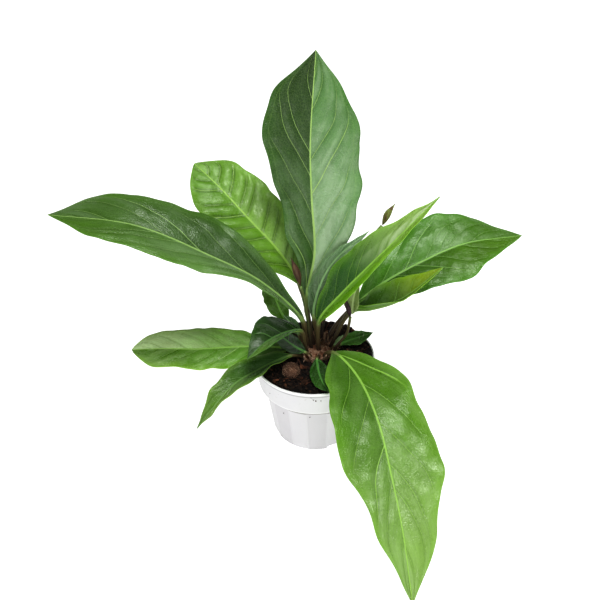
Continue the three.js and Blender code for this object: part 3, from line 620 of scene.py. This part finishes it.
def plain_material(name, low, high, roughness, scale=300):
    """Something small: two tones on a noise, and a little relief."""
    shader = Shader(name)
    grain = shader.noise(scale, 4, 0.65)
    colour = shader.blend(grain.rises(0.35, 0.65), low, high)
    normal = shader.bump(grain, 0.3 * MM, 0.7)
    return shader.finish(colour, roughness + grain * 0.1, normal)


def floor_material():
    shader = Shader("studio_floor")
    return shader.finish((0.3, 0.3, 0.3, 1), 0.9, Emission_Color=(1, 1, 1, 1), Emission_Strength=1.0)


def between(values, share):
    """A value between others that stand at even steps, on a smooth line through them."""
    steps = len(values) - 1
    index = min(int(share * steps), steps - 1)
    part = share * steps - index
    start, end = values[index], values[index + 1]
    before = values[index - 1] if index else 2 * start - end
    after = values[index + 2] if index + 2 <= steps else 2 * end - start
    leave = (end - before) / 2
    arrive = (after - start) / 2
    cubic = 2 * start - 2 * end + leave + arrive
    square = 3 * end - 3 * start - 2 * leave - arrive
    return ((cubic * part + square) * part + leave) * part + start


def smooth(value, low, high):
    share = min(max((value - low) / (high - low), 0), 1)
    return share * share * (3 - 2 * share)


class Route:
    """A smooth line through points, read at a share of its length."""

    SAMPLES = 60

    def __init__(self, points, face):
        points = [Vector(point) for point in points]
        ends = [2 * points[0] - points[1], *points, 2 * points[-1] - points[-2]]
        self.places = [points[0]]
        for index in range(len(points) - 1):
            self.add_stretch(*ends[index:index + 4])
        self.reached = [0]
        for one, other in zip(self.places, self.places[1:]):
            self.reached.append(self.reached[-1] + (other - one).length)
        self.length = self.reached[-1]
        self.face = [Vector(direction) for direction in face]

    def add_stretch(self, before, start, end, after):
        first, middle, last = [math.sqrt((b - a).length) for a, b in
                               ((before, start), (start, end), (end, after))]
        leave = (start - before) / first - (end - before) / (first + middle) + (end - start) / middle
        arrive = (end - start) / middle - (after - start) / (middle + last) + (after - end) / last
        leave *= middle
        arrive *= middle
        for step in range(1, self.SAMPLES + 1):
            t = step / self.SAMPLES
            square = 3 * end - 3 * start - 2 * leave - arrive
            cubic = 2 * start - 2 * end + leave + arrive
            self.places.append(start + leave * t + square * t ** 2 + cubic * t ** 3)

    def at(self, share):
        """The centre, and the directions ahead, up and to the side."""
        wanted = min(max(share, 0), 1) * self.length
        low, high = 0, len(self.places) - 2
        while low < high:
            middle = (low + high + 1) // 2
            if self.reached[middle] <= wanted:
                low = middle
            else:
                high = middle - 1
        start, end = self.places[low], self.places[low + 1]
        ahead = (end - start).normalized()
        part = (wanted - self.reached[low]) / (end - start).length
        face = self.face[0].lerp(self.face[1], share)
        up = (face - ahead * face.dot(ahead)).normalized()
        return start.lerp(end, part), ahead, up, ahead.cross(up)


def blade_surface(leaf, along, across):
    """A point of a blade's upper face, and what its material wants to know there."""
    side_of_blade = leaf["left"] if across < 0 else leaf["right"]
    out = abs(across)
    turn = 1 if across > 0 else -1
    start = leaf["stalk_share"]
    centre, ahead, up, side = leaf["route"].at(start + (1 - start) * along)
    width = max(between([leaf["radius"], *side_of_blade["widths"], 0], along), 0)
    tip_curve = smooth(along, 0.7, 0.9)
    if along > 0.9:
        tip_curve = math.sqrt(max(1 - ((along - 0.9) / 0.1) ** 2, 0))
    width += leaf["blunt"] * tip_curve
    scallop = noise.noise(Vector((7.5 * along, 9 * turn, leaf["sweep"] * 40)))
    width += leaf["wave"] * 1.8 * scallop * smooth(along, 0.02, 0.2) * (1 - smooth(along, 0.85, 1))
    fold = math.radians(between(side_of_blade["fold"], along))
    curl = math.radians(side_of_blade["curl"])
    sideways = width * (math.sin(fold + curl * out) - math.sin(fold)) / curl
    arched = width * (math.cos(fold) - math.cos(fold + curl * out)) / curl
    middle = math.sin(math.pi * along)
    wave = leaf["wave"] * out ** 3 * middle * math.sin(5 * math.pi * along + 2 * turn)
    ripple = leaf["wave"] * 0.3 * out ** 5 * middle * math.sin(19 * math.pi * along + 3 * turn)
    foot = along - leaf["sweep"] * (0.75 * out + 0.25 * out ** 3)
    uneven_spacing = 0.55 * noise.noise(Vector((7 * foot, 5 * turn, leaf["veins"])))
    phase = leaf["veins"] * foot * (1 + 0.25 * foot) + (0.45 if turn > 0 else 0) + uneven_spacing
    distance = abs(phase - round(phase)) * 2
    puff = math.sin(math.pi / 2 * distance) ** 0.8 - 0.6
    puff *= 1 + 1.1 * noise.noise(Vector((6 * along, 2.5 * across, leaf["veins"])))
    quilt = leaf["quilt"] * puff * smooth(out, 0, 0.2) * (1 - smooth(out, 0.72, 1)) * min(middle * 1.6, 1)
    ridge = leaf["radius"] * 0.22 * (1 - 0.7 * along) * math.exp(-((sideways / (leaf["radius"] * 0.6)) ** 2))
    place = centre + side * turn * sideways + up * (arched + wave + ripple + quilt + ridge)
    uneven = noise.noise(place * 0.045) * 1.6 + noise.noise(place * 0.11) * 0.7
    place += up * (uneven * smooth(out, 0, 0.5) * middle + BLADE_THICKNESS / 2)
    return place * MM, {"along": along, "across": across, "vein": phase, "span": turn * sideways}


def stalk_surface(leaf, share, angle):
    """A point of a stalk's skin. Past the blade's foot it thins out and is the midrib's back."""
    start = leaf["stalk_share"]
    centre, ahead, up, side = leaf["route"].at(share)
    past = (share - start) / (1 - start) if start < 1 else -1
    radius = leaf["radius"]
    before = (share - start) / start
    if past > 0:
        radius *= 0.1 + 0.62 * (1 - past) ** 0.8 + 0.28 * (1 - smooth(past, 0, 0.1))
        centre = centre - up * radius * 0.7 * smooth(past, 0, 0.06)
    elif start < 1:
        knee = (before * start * leaf["route"].length + 6) / 4
        radius *= 1 + 0.18 * math.exp(-knee ** 2)
    place = centre + (side * math.cos(angle) + up * math.sin(angle)) * radius
    return place * MM, {"along": past if past > 0 else before}


def grid_mesh(name, rows, columns, surface, closed):
    """A grid whose points a formula moves to their places. A closed one is a tube with capped ends."""
    shape = bmesh.new()
    bmesh.ops.create_grid(shape, x_segments=columns, y_segments=rows, size=0.5)
    for key in surface(0.5, 0.5)[1]:
        shape.verts.layers.float.new(key)
    layers = dict(shape.verts.layers.float.items())
    for vert in shape.verts:
        place, values = surface(vert.co.x + 0.5, vert.co.y + 0.5)
        vert.co = place
        for key, layer in layers.items():
            vert[layer] = values[key]
    bmesh.ops.remove_doubles(shape, verts=shape.verts, dist=WELD)
    if closed:
        bmesh.ops.holes_fill(shape, edges=shape.edges)
        bmesh.ops.recalc_face_normals(shape, faces=shape.faces)
    return piece_from(name, shape)


def object_from(name, shape):
    mesh = bpy.data.meshes.new(name)
    shape.to_mesh(mesh)
    shape.free()
    made = bpy.data.objects.new(name, mesh)
    bpy.context.scene.collection.objects.link(made)
    return made


def piece_from(name, shape, smooth_faces=True):
    """A bmesh as an object of the plant, which rides on its one body."""
    for face in shape.faces:
        face.smooth = smooth_faces
    piece = object_from(name, shape)
    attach(piece, "root")
    return piece


def dress(piece, *materials):
    piece.data.materials.clear()
    for material in materials:
        piece.data.materials.append(material)


def thicken(piece, thickness, offset):
    wall = piece.modifiers.new("thickness", "SOLIDIFY")
    wall.thickness = thickness * MM
    wall.offset = offset
    return wall


def add_blade(leaf):
    rows, columns = leaf["grid"]

    def surface(x, y):
        spread = 2 * x - 1
        across = math.copysign(abs(spread) ** 1.25, spread)
        return blade_surface(leaf, y, across)

    piece = grid_mesh(leaf["name"] + "_blade", rows, columns, surface, False)
    dress(piece, blade_material(leaf, False), blade_material(leaf, True))
    thicken(piece, BLADE_THICKNESS, -1).material_offset = 1
    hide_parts(leaf["name"])


def add_stalk(leaf, material, rows=STALK_ROWS):
    end = STALK_END if leaf["stalk_share"] < 1 else 1

    def surface(x, y):
        return stalk_surface(leaf, y * end, -2 * math.pi * x)

    piece = grid_mesh(leaf["name"] + "_stalk", rows, STALK_SIDES, surface, True)
    dress(piece, material)
    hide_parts(leaf["name"])


def add_bud(bud, material, ridge):
    """A spindle round its own route, with the rolled edge that a closed spathe shows."""

    def surface(x, y):
        centre, ahead, up, side = bud["route"].at(y)
        angle = 2 * math.pi * x
        swell = between([0.2, *bud["radii"], 0.05], y) * (1 + ridge * math.cos(angle - 4 * y))
        return (centre + (side * math.cos(angle) + up * math.sin(angle)) * swell) * MM, {"along": y}

    piece = grid_mesh(bud["name"] + "_skin", *BUD_GRID, surface, True)
    dress(piece, material)
    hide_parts(bud["name"])


for leaf in [*LEAVES, SPATHE]:
    for look, usual in USUAL_LOOKS.items():
        leaf.setdefault(look, usual)
for organ in [*LEAVES, *STEMS, *BUDS, SPATHE]:
    organ["route"] = Route(organ["midrib"], organ["face"])
    organ["stalk_share"] = organ["stalk"] / organ["route"].length if "stalk" in organ else 1

STALKS = {
    "purple": stalk_material("stalk_purple", "3e2a22", "5e5434", "8aa860"),
    "green": stalk_material("stalk_green", "3a2a22", "5f6a38", "94b468"),
}
for leaf in LEAVES:
    add_blade(leaf)
    add_stalk(leaf, STALKS["purple"])
for stem in STEMS:
    add_stalk(stem, STALKS[stem["finish"]], STEM_ROWS)
add_blade(SPATHE)
bronze = bud_material("bud_bronze", "64482c", "84944a")
brown = bud_material("bud_brown", "4a3328", "6b5238")
for bud, finish, ridge in zip(BUDS, (spadix_material(), bronze, brown), (0, 0.08, 0.1)):
    add_bud(bud, finish, ridge)


def pot_profile():
    """The pot's wall from the middle of the base, up the outside, over the lip and down inside."""
    body = POT_HEIGHT - BAND_HEIGHT
    slope = (RIM_RADIUS - BAND_RADIUS) / BAND_HEIGHT
    inner = BAND_RADIUS + slope * WALL - RIM_THICKNESS
    return [
        (0, 0), (BASE_RADIUS * 0.6, 0), (BASE_RADIUS - 1.6, 0), (BASE_RADIUS - 0.6, 0.25), (BASE_RADIUS, 1.2),
        (BASE_RADIUS + 0.6, 6), (BODY_RADIUS, body - 1.2), (BODY_RADIUS + 0.5, body - 0.4),
        (BAND_RADIUS - 1, body), (BAND_RADIUS - 0.3, body + 0.2), (BAND_RADIUS, body + 0.8),
        (BAND_RADIUS + slope * 2.5, body + 2.5), (RIM_RADIUS - 1.1, POT_HEIGHT - 4.2),
        (RIM_RADIUS - 0.7, POT_HEIGHT - 3.2), (RIM_RADIUS - 0.1, POT_HEIGHT - 2.6),
        (RIM_RADIUS, POT_HEIGHT - 1.6), (RIM_RADIUS - 0.1, POT_HEIGHT - 0.7),
        (RIM_RADIUS - 0.5, POT_HEIGHT - 0.15), (RIM_RADIUS - 1.1, POT_HEIGHT),
        (RIM_RADIUS - 1.7, POT_HEIGHT - 0.2), (RIM_RADIUS - RIM_THICKNESS, POT_HEIGHT - 0.8),
        (inner, body + WALL + 1), (BODY_RADIUS - PANEL_RELIEF - WALL, body + WALL - 1),
        (BASE_RADIUS - PANEL_RELIEF - WALL, FLOOR), (0, FLOOR),
    ]


def panel_depth(angle):
    """How far the wall is set back at an angle: every second panel is."""
    panel = 2 * math.pi / PANEL_COUNT
    position = (angle / panel) % 2
    edge = PANEL_STEP / panel
    rise = smooth(position, 0.5 - edge, 0.5 + edge)
    fall = smooth(position, 1.5 - edge, 1.5 + edge)
    return PANEL_RELIEF * (1 - rise + fall)


def drain_cutter(index):
    """A block with a low flat arch, set through the wall at the foot of the pot."""
    shape = bmesh.new()
    half_width, spring = ARCH_WIDTH / 2, ARCH_HEIGHT * 0.3
    outline = [(-half_width, -1), (half_width, -1), (half_width, spring)]
    for step in range(ARCH_STEPS + 1):
        angle = math.pi / 2 * step / ARCH_STEPS
        reach = half_width * (0.5 + 0.5 * math.cos(angle))
        outline.append((reach, spring + (ARCH_HEIGHT - spring) * math.sin(angle)))
    outline += [(-x, z) for x, z in reversed(outline[3:])] + [(-half_width, spring)]
    corners = [shape.verts.new((x, -BASE_RADIUS + ARCH_INSET, z)) for x, z in outline]
    face = shape.faces.new(corners)
    grown = bmesh.ops.extrude_face_region(shape, geom=[face])
    moved = [item for item in grown["geom"] if isinstance(item, bmesh.types.BMVert)]
    bmesh.ops.translate(shape, verts=moved, vec=(0, -ARCH_DEPTH, 0))
    bmesh.ops.recalc_face_normals(shape, faces=shape.faces)
    turn = Matrix.Rotation(2 * math.pi * index / ARCH_COUNT + 2 * math.pi / PANEL_COUNT, 4, "Z")
    bmesh.ops.transform(shape, matrix=turn @ Matrix.Scale(MM, 4), verts=shape.verts)
    bmesh.ops.remove_doubles(shape, verts=shape.verts, dist=WELD)
    return object_from("drain_cutter", shape)


def add_pot():
    """The moulded shell, spun from its profile, panelled, and cut by its drain arches."""
    shape = bmesh.new()
    corners = [shape.verts.new((radius, 0, height)) for radius, height in pot_profile()]
    edges = [shape.edges.new(pair) for pair in zip(corners, corners[1:])]
    bmesh.ops.spin(shape, geom=corners + edges, cent=(0, 0, 0), axis=(0, 0, 1), angle=2 * math.pi,
                   steps=PANEL_COUNT * SPOKES_PER_PANEL, use_merge=True)
    bmesh.ops.remove_doubles(shape, verts=shape.verts, dist=1e-4)
    for vert in shape.verts:
        radius = math.hypot(vert.co.x, vert.co.y)
        outside = 1 < vert.co.z < POT_HEIGHT - BAND_HEIGHT - 0.1 and radius > BASE_RADIUS - 0.8
        if outside:
            set_back = panel_depth(math.atan2(vert.co.y, vert.co.x))
            vert.co.xy *= (radius - set_back) / radius
    bmesh.ops.recalc_face_normals(shape, faces=shape.faces)
    bmesh.ops.scale(shape, vec=(MM, MM, MM), verts=shape.verts)
    piece = piece_from("pot_shell", shape)
    cutters = [drain_cutter(index) for index in range(ARCH_COUNT)]
    for cutter in cutters:
        cut = piece.modifiers.new("drain", "BOOLEAN")
        cut.object = cutter
        cut.solver = "EXACT"
    graph = bpy.context.evaluated_depsgraph_get()
    mesh = bpy.data.meshes.new_from_object(piece.evaluated_get(graph))
    piece.modifiers.clear()
    piece.data = mesh
    for cutter in cutters:
        bpy.data.objects.remove(cutter)
    mesh.set_sharp_from_angle(angle=SHARP_ANGLE)
    dress(piece, plastic_material())
    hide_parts("pot")


def soil_height(x, y):
    """The top of the mix, in millimetres, as in the part."""
    heap = SOIL_HEAP * (0.5 + (0.75 * x + 0.66 * y) / (2 * RIM_RADIUS))
    from_crown = math.hypot(x - CROWN.x, y - CROWN.y)
    rise = SOIL_RISE * math.exp(-((from_crown / SOIL_RISE_RADIUS) ** 2))
    coarse = math.sin(0.55 * x + 1.3) * math.cos(0.6 * y)
    fine = 0.6 * math.sin(1.1 * x + 0.9 * y)
    edge = smooth(math.hypot(x, y), SOIL_RADIUS * 0.93, SOIL_RADIUS)
    return SOIL_EDGE + heap + rise + SOIL_LUMP * (coarse + fine) - SOIL_SHOULDER * edge


def soil_surface(x, y):
    """A point of the soil's crust: rings from the middle out to the pot's wall."""
    angle = 2 * math.pi * x
    radius = SOIL_RADIUS * y
    east, north = radius * math.cos(angle), radius * math.sin(angle)
    place = Vector((east, north, 0))
    crumbs = noise.fractal(place * 0.35, 0.6, 2.0, 5) * 1.3 + abs(noise.noise(place * 0.9)) * 1.4
    return Vector((east, north, soil_height(east, north) + 0.7 + crumbs)) * MM


def add_soil():
    shape = bmesh.new()
    rings, spokes = CRUST_GRID
    bmesh.ops.create_grid(shape, x_segments=spokes, y_segments=rings, size=0.5)
    for vert in shape.verts:
        vert.co = soil_surface(vert.co.x + 0.5, vert.co.y + 0.5)
    bmesh.ops.remove_doubles(shape, verts=shape.verts, dist=WELD)
    bmesh.ops.recalc_face_normals(shape, faces=shape.faces)
    if sum(face.normal.z for face in shape.faces) < 0:
        bmesh.ops.reverse_faces(shape, faces=shape.faces)
    crust = piece_from("soil_crust", shape)
    thicken(crust, CRUST_THICKNESS, -1)
    mix = soil_material("potting_mix", "0b0706", "3a281c", 0.0)
    dress(crust, mix)
    dress(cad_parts["soil"], mix)


def strewn(nearest, farthest, lift):
    """A random place over the soil, between two shares of its area."""
    angle = random.uniform(0, 2 * math.pi)
    radius = math.sqrt(random.uniform(nearest, farthest)) * SOIL_RADIUS
    east, north = radius * math.cos(angle), radius * math.sin(angle)
    return Vector((east, north, soil_height(east, north) + lift))


def crumb(shape, layer, place, size, tone, faces=1):
    """One crumb: a small ball with its corners pushed in and out, turned at random."""
    made = bmesh.ops.create_icosphere(shape, subdivisions=faces, radius=1)["verts"]
    turn = Matrix.Rotation(random.uniform(0, 2 * math.pi), 4, Vector((random.random(), random.random(), 1)))
    seed = Vector((random.uniform(0, 90), random.uniform(0, 90), 0))
    for vert in made:
        push = 1 + CRUMB_ROUGHNESS * noise.noise(vert.co * 1.7 + seed)
        scaled = Vector([part * reach for part, reach in zip(vert.co * push, size)])
        vert.co = (place + turn @ scaled) * MM
        vert[layer] = tone


def litter(name, count, sizes, faces, material, flat=0.7):
    """Crumbs strewn over the soil, one mesh for each kind."""
    shape = bmesh.new()
    layer = shape.verts.layers.float.new("tone")
    for _ in range(count):
        place = strewn((CLEAR_OF_CROWN / SOIL_RADIUS) ** 2, 0.95, 1.1)
        size = random.uniform(*sizes)
        reach = (size * random.uniform(0.8, 1.5), size * random.uniform(0.6, 1), size * flat)
        place.z += size * 0.25
        crumb(shape, layer, place, reach, random.uniform(0, 1), faces)
    piece = piece_from(name, shape, faces > 1)
    dress(piece, material)


def strand(shape, layer, points, radius, tone):
    """A thin fibre through points, closed at both ends."""
    loops = []
    for index, point in enumerate(points):
        ahead = (points[min(index + 1, len(points) - 1)] - points[max(index - 1, 0)]).normalized()
        turn = ahead.to_track_quat("Z", "Y").to_matrix().to_4x4()
        thin = radius * (0.35 if index in (0, len(points) - 1) else 1)
        matrix = Matrix.Translation(point * MM) @ turn
        made = bmesh.ops.create_circle(shape, segments=FIBRE_SIDES, radius=thin * MM, matrix=matrix)["verts"]
        for vert in made:
            vert[layer] = tone
        loops.append(made)
    for low, high in zip(loops, loops[1:]):
        for index in range(FIBRE_SIDES):
            after = (index + 1) % FIBRE_SIDES
            shape.faces.new((low[index], low[after], high[after], high[index]))
    shape.faces.new(list(reversed(loops[0])))
    shape.faces.new(loops[-1])


def wander(start, direction, length, bend):
    """Points of a fibre that turns a little at each step."""
    points = [start]
    heading = direction.normalized()
    for _ in range(FIBRE_STEPS):
        heading = (heading + Vector([random.uniform(-bend, bend) for _ in range(3)])).normalized()
        points.append(points[-1] + heading * length / FIBRE_STEPS)
    return points


def add_fibres(name, count, material, place_at, length, radius):
    shape = bmesh.new()
    layer = shape.verts.layers.float.new("tone")
    for _ in range(count):
        start, direction, bend = place_at()
        points = wander(start, direction, random.uniform(*length), bend)
        strand(shape, layer, points, random.uniform(*radius), random.random())
    bmesh.ops.recalc_face_normals(shape, faces=shape.faces)
    piece = piece_from(name, shape)
    dress(piece, material)


def on_soil():
    """Where a fibre on the soil starts, where it heads and how much it bends, as for the next three."""
    start = strewn(0.1, 0.85, 1.8)
    heading = random.uniform(0, 2 * math.pi)
    return start, Vector((math.cos(heading), math.sin(heading), 0.05)), 0.25


def on_ball():
    upward = Vector((random.gauss(0, 1), random.gauss(0, 1), random.gauss(0, 1))).normalized()
    tangent = upward.cross(Vector((random.random(), random.random(), random.random()))).normalized()
    return BALL + upward * (BALL_RADIUS + 0.1), tangent - upward * 0.3, 0.15


def on_crown():
    angle = random.uniform(0, 2 * math.pi)
    radius = random.uniform(0.3, 0.98) * CROWN_RADIUS
    outward = Vector((math.cos(angle), math.sin(angle), 0))
    start = CROWN + outward * radius + Vector((0, 0, CROWN_TOP - 1 - 5 * (radius / CROWN_RADIUS) ** 4))
    return start, outward * 0.5 + Vector((0, 0, 1)), 0.35


def root_hairs():
    start = Vector((random.uniform(38, 50), random.uniform(8, 22), 0))
    start.z = soil_height(start.x, start.y) + 2
    return start, Vector((random.uniform(-1, 1), random.uniform(-1, 1), 0.9)), 0.5


def add_fibre_ball():
    """The ball of matted fibre, its skin pushed in and out, with loose fibres wound over it."""
    shape = bmesh.new()
    layer = shape.verts.layers.float.new("tone")
    bmesh.ops.create_icosphere(shape, subdivisions=5, radius=1)
    for vert in shape.verts:
        mat = noise.fractal(vert.co * 2.5, 0.7, 2.0, 5) * 0.09
        vert.co = (BALL + vert.co * (BALL_RADIUS * (0.985 + mat))) * MM
        vert[layer] = 0.6
    piece = piece_from("fibre_ball_mat", shape)
    dress(piece, soil_material("coir_mat", "2c1c14", "80604c", 0.6))
    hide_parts("fibre_ball")
    coir = soil_material("coir_fibre", "5c4030", "c0a088", 0.9)
    add_fibres("fibre_ball_strands", 320, coir, on_ball, (2.5, 5.5), (0.1, 0.22))


def husk_surface(place, outward, width, height, lean, twist):
    """A papery scale: it curls round the crown and narrows to a ragged tip."""
    sideways = Vector((-outward.y, outward.x, 0))

    def surface(x, y):
        across = 2 * x - 1
        spread = width * (1 - y ** 1.8) * (1 + 0.12 * math.sin(9 * y + twist))
        ragged = 1.2 * math.sin(7 * across + twist) * y ** 3
        point = place + sideways * across * spread + Vector((0, 0, height * y + ragged))
        point += outward * (lean * y ** 2 * height - 0.35 * spread * across ** 2 + twist * 0.2 * y * across)
        return point * MM, {"tone": y}

    return surface


def add_husks(material):
    """Dry scales all round the crown, some set further in than others."""
    for index in range(HUSK_COUNT):
        angle = 2 * math.pi * (index + random.uniform(-0.3, 0.3)) / HUSK_COUNT
        radius = CROWN_RADIUS * random.choice((0.98, 0.9, 0.72))
        outward = Vector((math.cos(angle), math.sin(angle), 0))
        place = CROWN + outward * radius
        place.z = CROWN_TOP - 6
        height = random.uniform(6, 13)
        surface = husk_surface(place, outward, random.uniform(2, 4.2), height, random.uniform(0.1, 0.5),
                               random.uniform(-2, 2))
        piece = grid_mesh(f"husk_{index:02d}", *HUSK_GRID, surface, False)
        thicken(piece, HUSK_THICKNESS, 0)
        dress(piece, material)


# Grains of soil on the band, as an angle from the front and a height, and their sizes
BAND_GRAINS = [
    (-50.0, 71.0, 0.7), (-38.0, 77.0, 0.5), (-12.3, 82.0, 0.6), (-5.4, 82.5, 0.9), (-3.0, 79.5, 1.1),
    (-1.0, 78.3, 1.2), (3.5, 78.3, 0.9), (-4.2, 80.8, 0.6), (5.2, 81.2, 0.4),
    (-41.0, 45.0, 0.6), (-7.9, 49.8, 0.6),
]


def add_grains():
    shape = bmesh.new()
    layer = shape.verts.layers.float.new("tone")
    for degrees, height, size in BAND_GRAINS:
        angle = math.radians(degrees - 90)
        slope = (height - POT_HEIGHT + BAND_HEIGHT) / BAND_HEIGHT
        radius = BAND_RADIUS + (RIM_RADIUS - 1.1 - BAND_RADIUS) * slope
        if slope < 0:
            radius = BASE_RADIUS + (BODY_RADIUS - BASE_RADIUS) * height / (POT_HEIGHT - BAND_HEIGHT)
        place = Vector((radius * math.cos(angle), radius * math.sin(angle), height))
        crumb(shape, layer, place, (size, size * 0.7, size * 0.6), 0.3)
    piece = piece_from("soil_grains", shape)
    dress(piece, plain_material("soil_grain", "2c2018", "5a4434", 0.9))


add_pot()
add_soil()
crumbs = soil_material("soil_crumb", "0e0908", "4c3628", 0.5)
chips = soil_material("coco_chip", "3a2418", "946246", 0.7)
husk = soil_material("papery_husk", "7c543c", "e8cbb0", 0.6)
pale = plain_material("perlite", "d8d4cc", "f0ece6", 0.9)
litter("soil_crumbs", 900, (0.7, 2.0), 1, crumbs)
litter("coco_chips", 70, (1.2, 2.6), 2, chips, flat=0.45)
litter("perlite_grains", 26, (0.5, 1.3), 2, pale)
for node in ("chip_front", "chip_left", "chip_middle"):
    dress(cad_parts[node], chips)
add_fibres("soil_fibres", 150, chips, on_soil, (5, 14), (0.12, 0.28))
add_fibres("root_hairs", 9, pale, root_hairs, (7, 13), (0.1, 0.16))
add_fibre_ball()
dress(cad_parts["crown"], husk)
add_husks(husk)
add_fibres("crown_fibres", 130, husk, on_crown, (4, 11), (0.15, 0.32))
add_grains()


# The studio, in metres and watts. The sky is white up to the sine of its first height above the
# horizon and grey from the second on.
FLOOR_SIZE = 60
HORIZON = (("From Min", 0.3), ("From Max", 0.5), ("To Min", 1.0), ("To Max", 0.26))
VIEW_GAMMA = 0.74


def add_floor():
    shape = bmesh.new()
    bmesh.ops.create_grid(shape, x_segments=4, y_segments=4, size=FLOOR_SIZE)
    floor = object_from("studio_floor", shape)
    dress(floor, floor_material())


def add_light(name, place, target, size, watts):
    lamp = bpy.data.lights.new(name, "AREA")
    lamp.shape = "RECTANGLE"
    lamp.size, lamp.size_y = size
    lamp.energy = watts
    light = bpy.data.objects.new(name, lamp)
    light.location = place
    aim = Vector(target) - Vector(place)
    light.rotation_euler = aim.to_track_quat("-Z", "Y").to_euler()
    bpy.context.scene.collection.objects.link(light)


# The camera, as it was fitted to the photograph: how high it stands, its roll, its distance from
# the point it looks at, and its focal length for its sensor
CAMERA_HEIGHT = math.radians(32.4)
CAMERA_ROLL = math.radians(-2.2)
CAMERA_DISTANCE = 551
CAMERA_TARGET = Vector((-12, 0, 152))
CAMERA_LENS = 35.28
SENSOR_WIDTH = 36


def add_camera():
    back = Vector((0, -math.cos(CAMERA_HEIGHT), math.sin(CAMERA_HEIGHT)))
    data = bpy.data.cameras.new("camera")
    data.lens = CAMERA_LENS
    data.sensor_width = SENSOR_WIDTH
    data.clip_start = 0.01
    camera = bpy.data.objects.new("camera", data)
    turn = (-back).to_track_quat("-Z", "Y").to_matrix().to_4x4()
    roll = Matrix.Rotation(CAMERA_ROLL, 4, "Z")
    camera.matrix_world = Matrix.Translation((CAMERA_TARGET + back * CAMERA_DISTANCE) * MM) @ turn @ roll
    bpy.context.scene.collection.objects.link(camera)
    bpy.context.scene.camera = camera


def add_daylight():
    world = bpy.data.worlds.new("studio")
    world.use_nodes = True
    nodes, links = world.node_tree.nodes, world.node_tree.links
    sky = nodes["Background"]
    sky.inputs["Color"].default_value = (1, 1, 1, 1)
    direction = nodes.new("ShaderNodeTexCoord")
    height = nodes.new("ShaderNodeSeparateXYZ")
    fade = nodes.new("ShaderNodeMapRange")
    for name, value in HORIZON:
        fade.inputs[name].default_value = value
    links.new(direction.outputs["Generated"], height.inputs["Vector"])
    links.new(height.outputs["Z"], fade.inputs["Value"])
    links.new(fade.outputs["Result"], sky.inputs["Strength"])
    bpy.context.scene.world = world
    bpy.context.scene.view_settings.view_transform = "Standard"
    bpy.context.scene.view_settings.gamma = VIEW_GAMMA


add_floor()
add_light("softbox_top", (0.16, -0.38, 1.45), (0, 0, 0.15), (0.5, 0.5), 15)
add_light("softbox_front", (-0.12, -1.6, 0.18), (0, 0, 0.2), (0.45, 0.4), 4)
add_daylight()
add_camera()
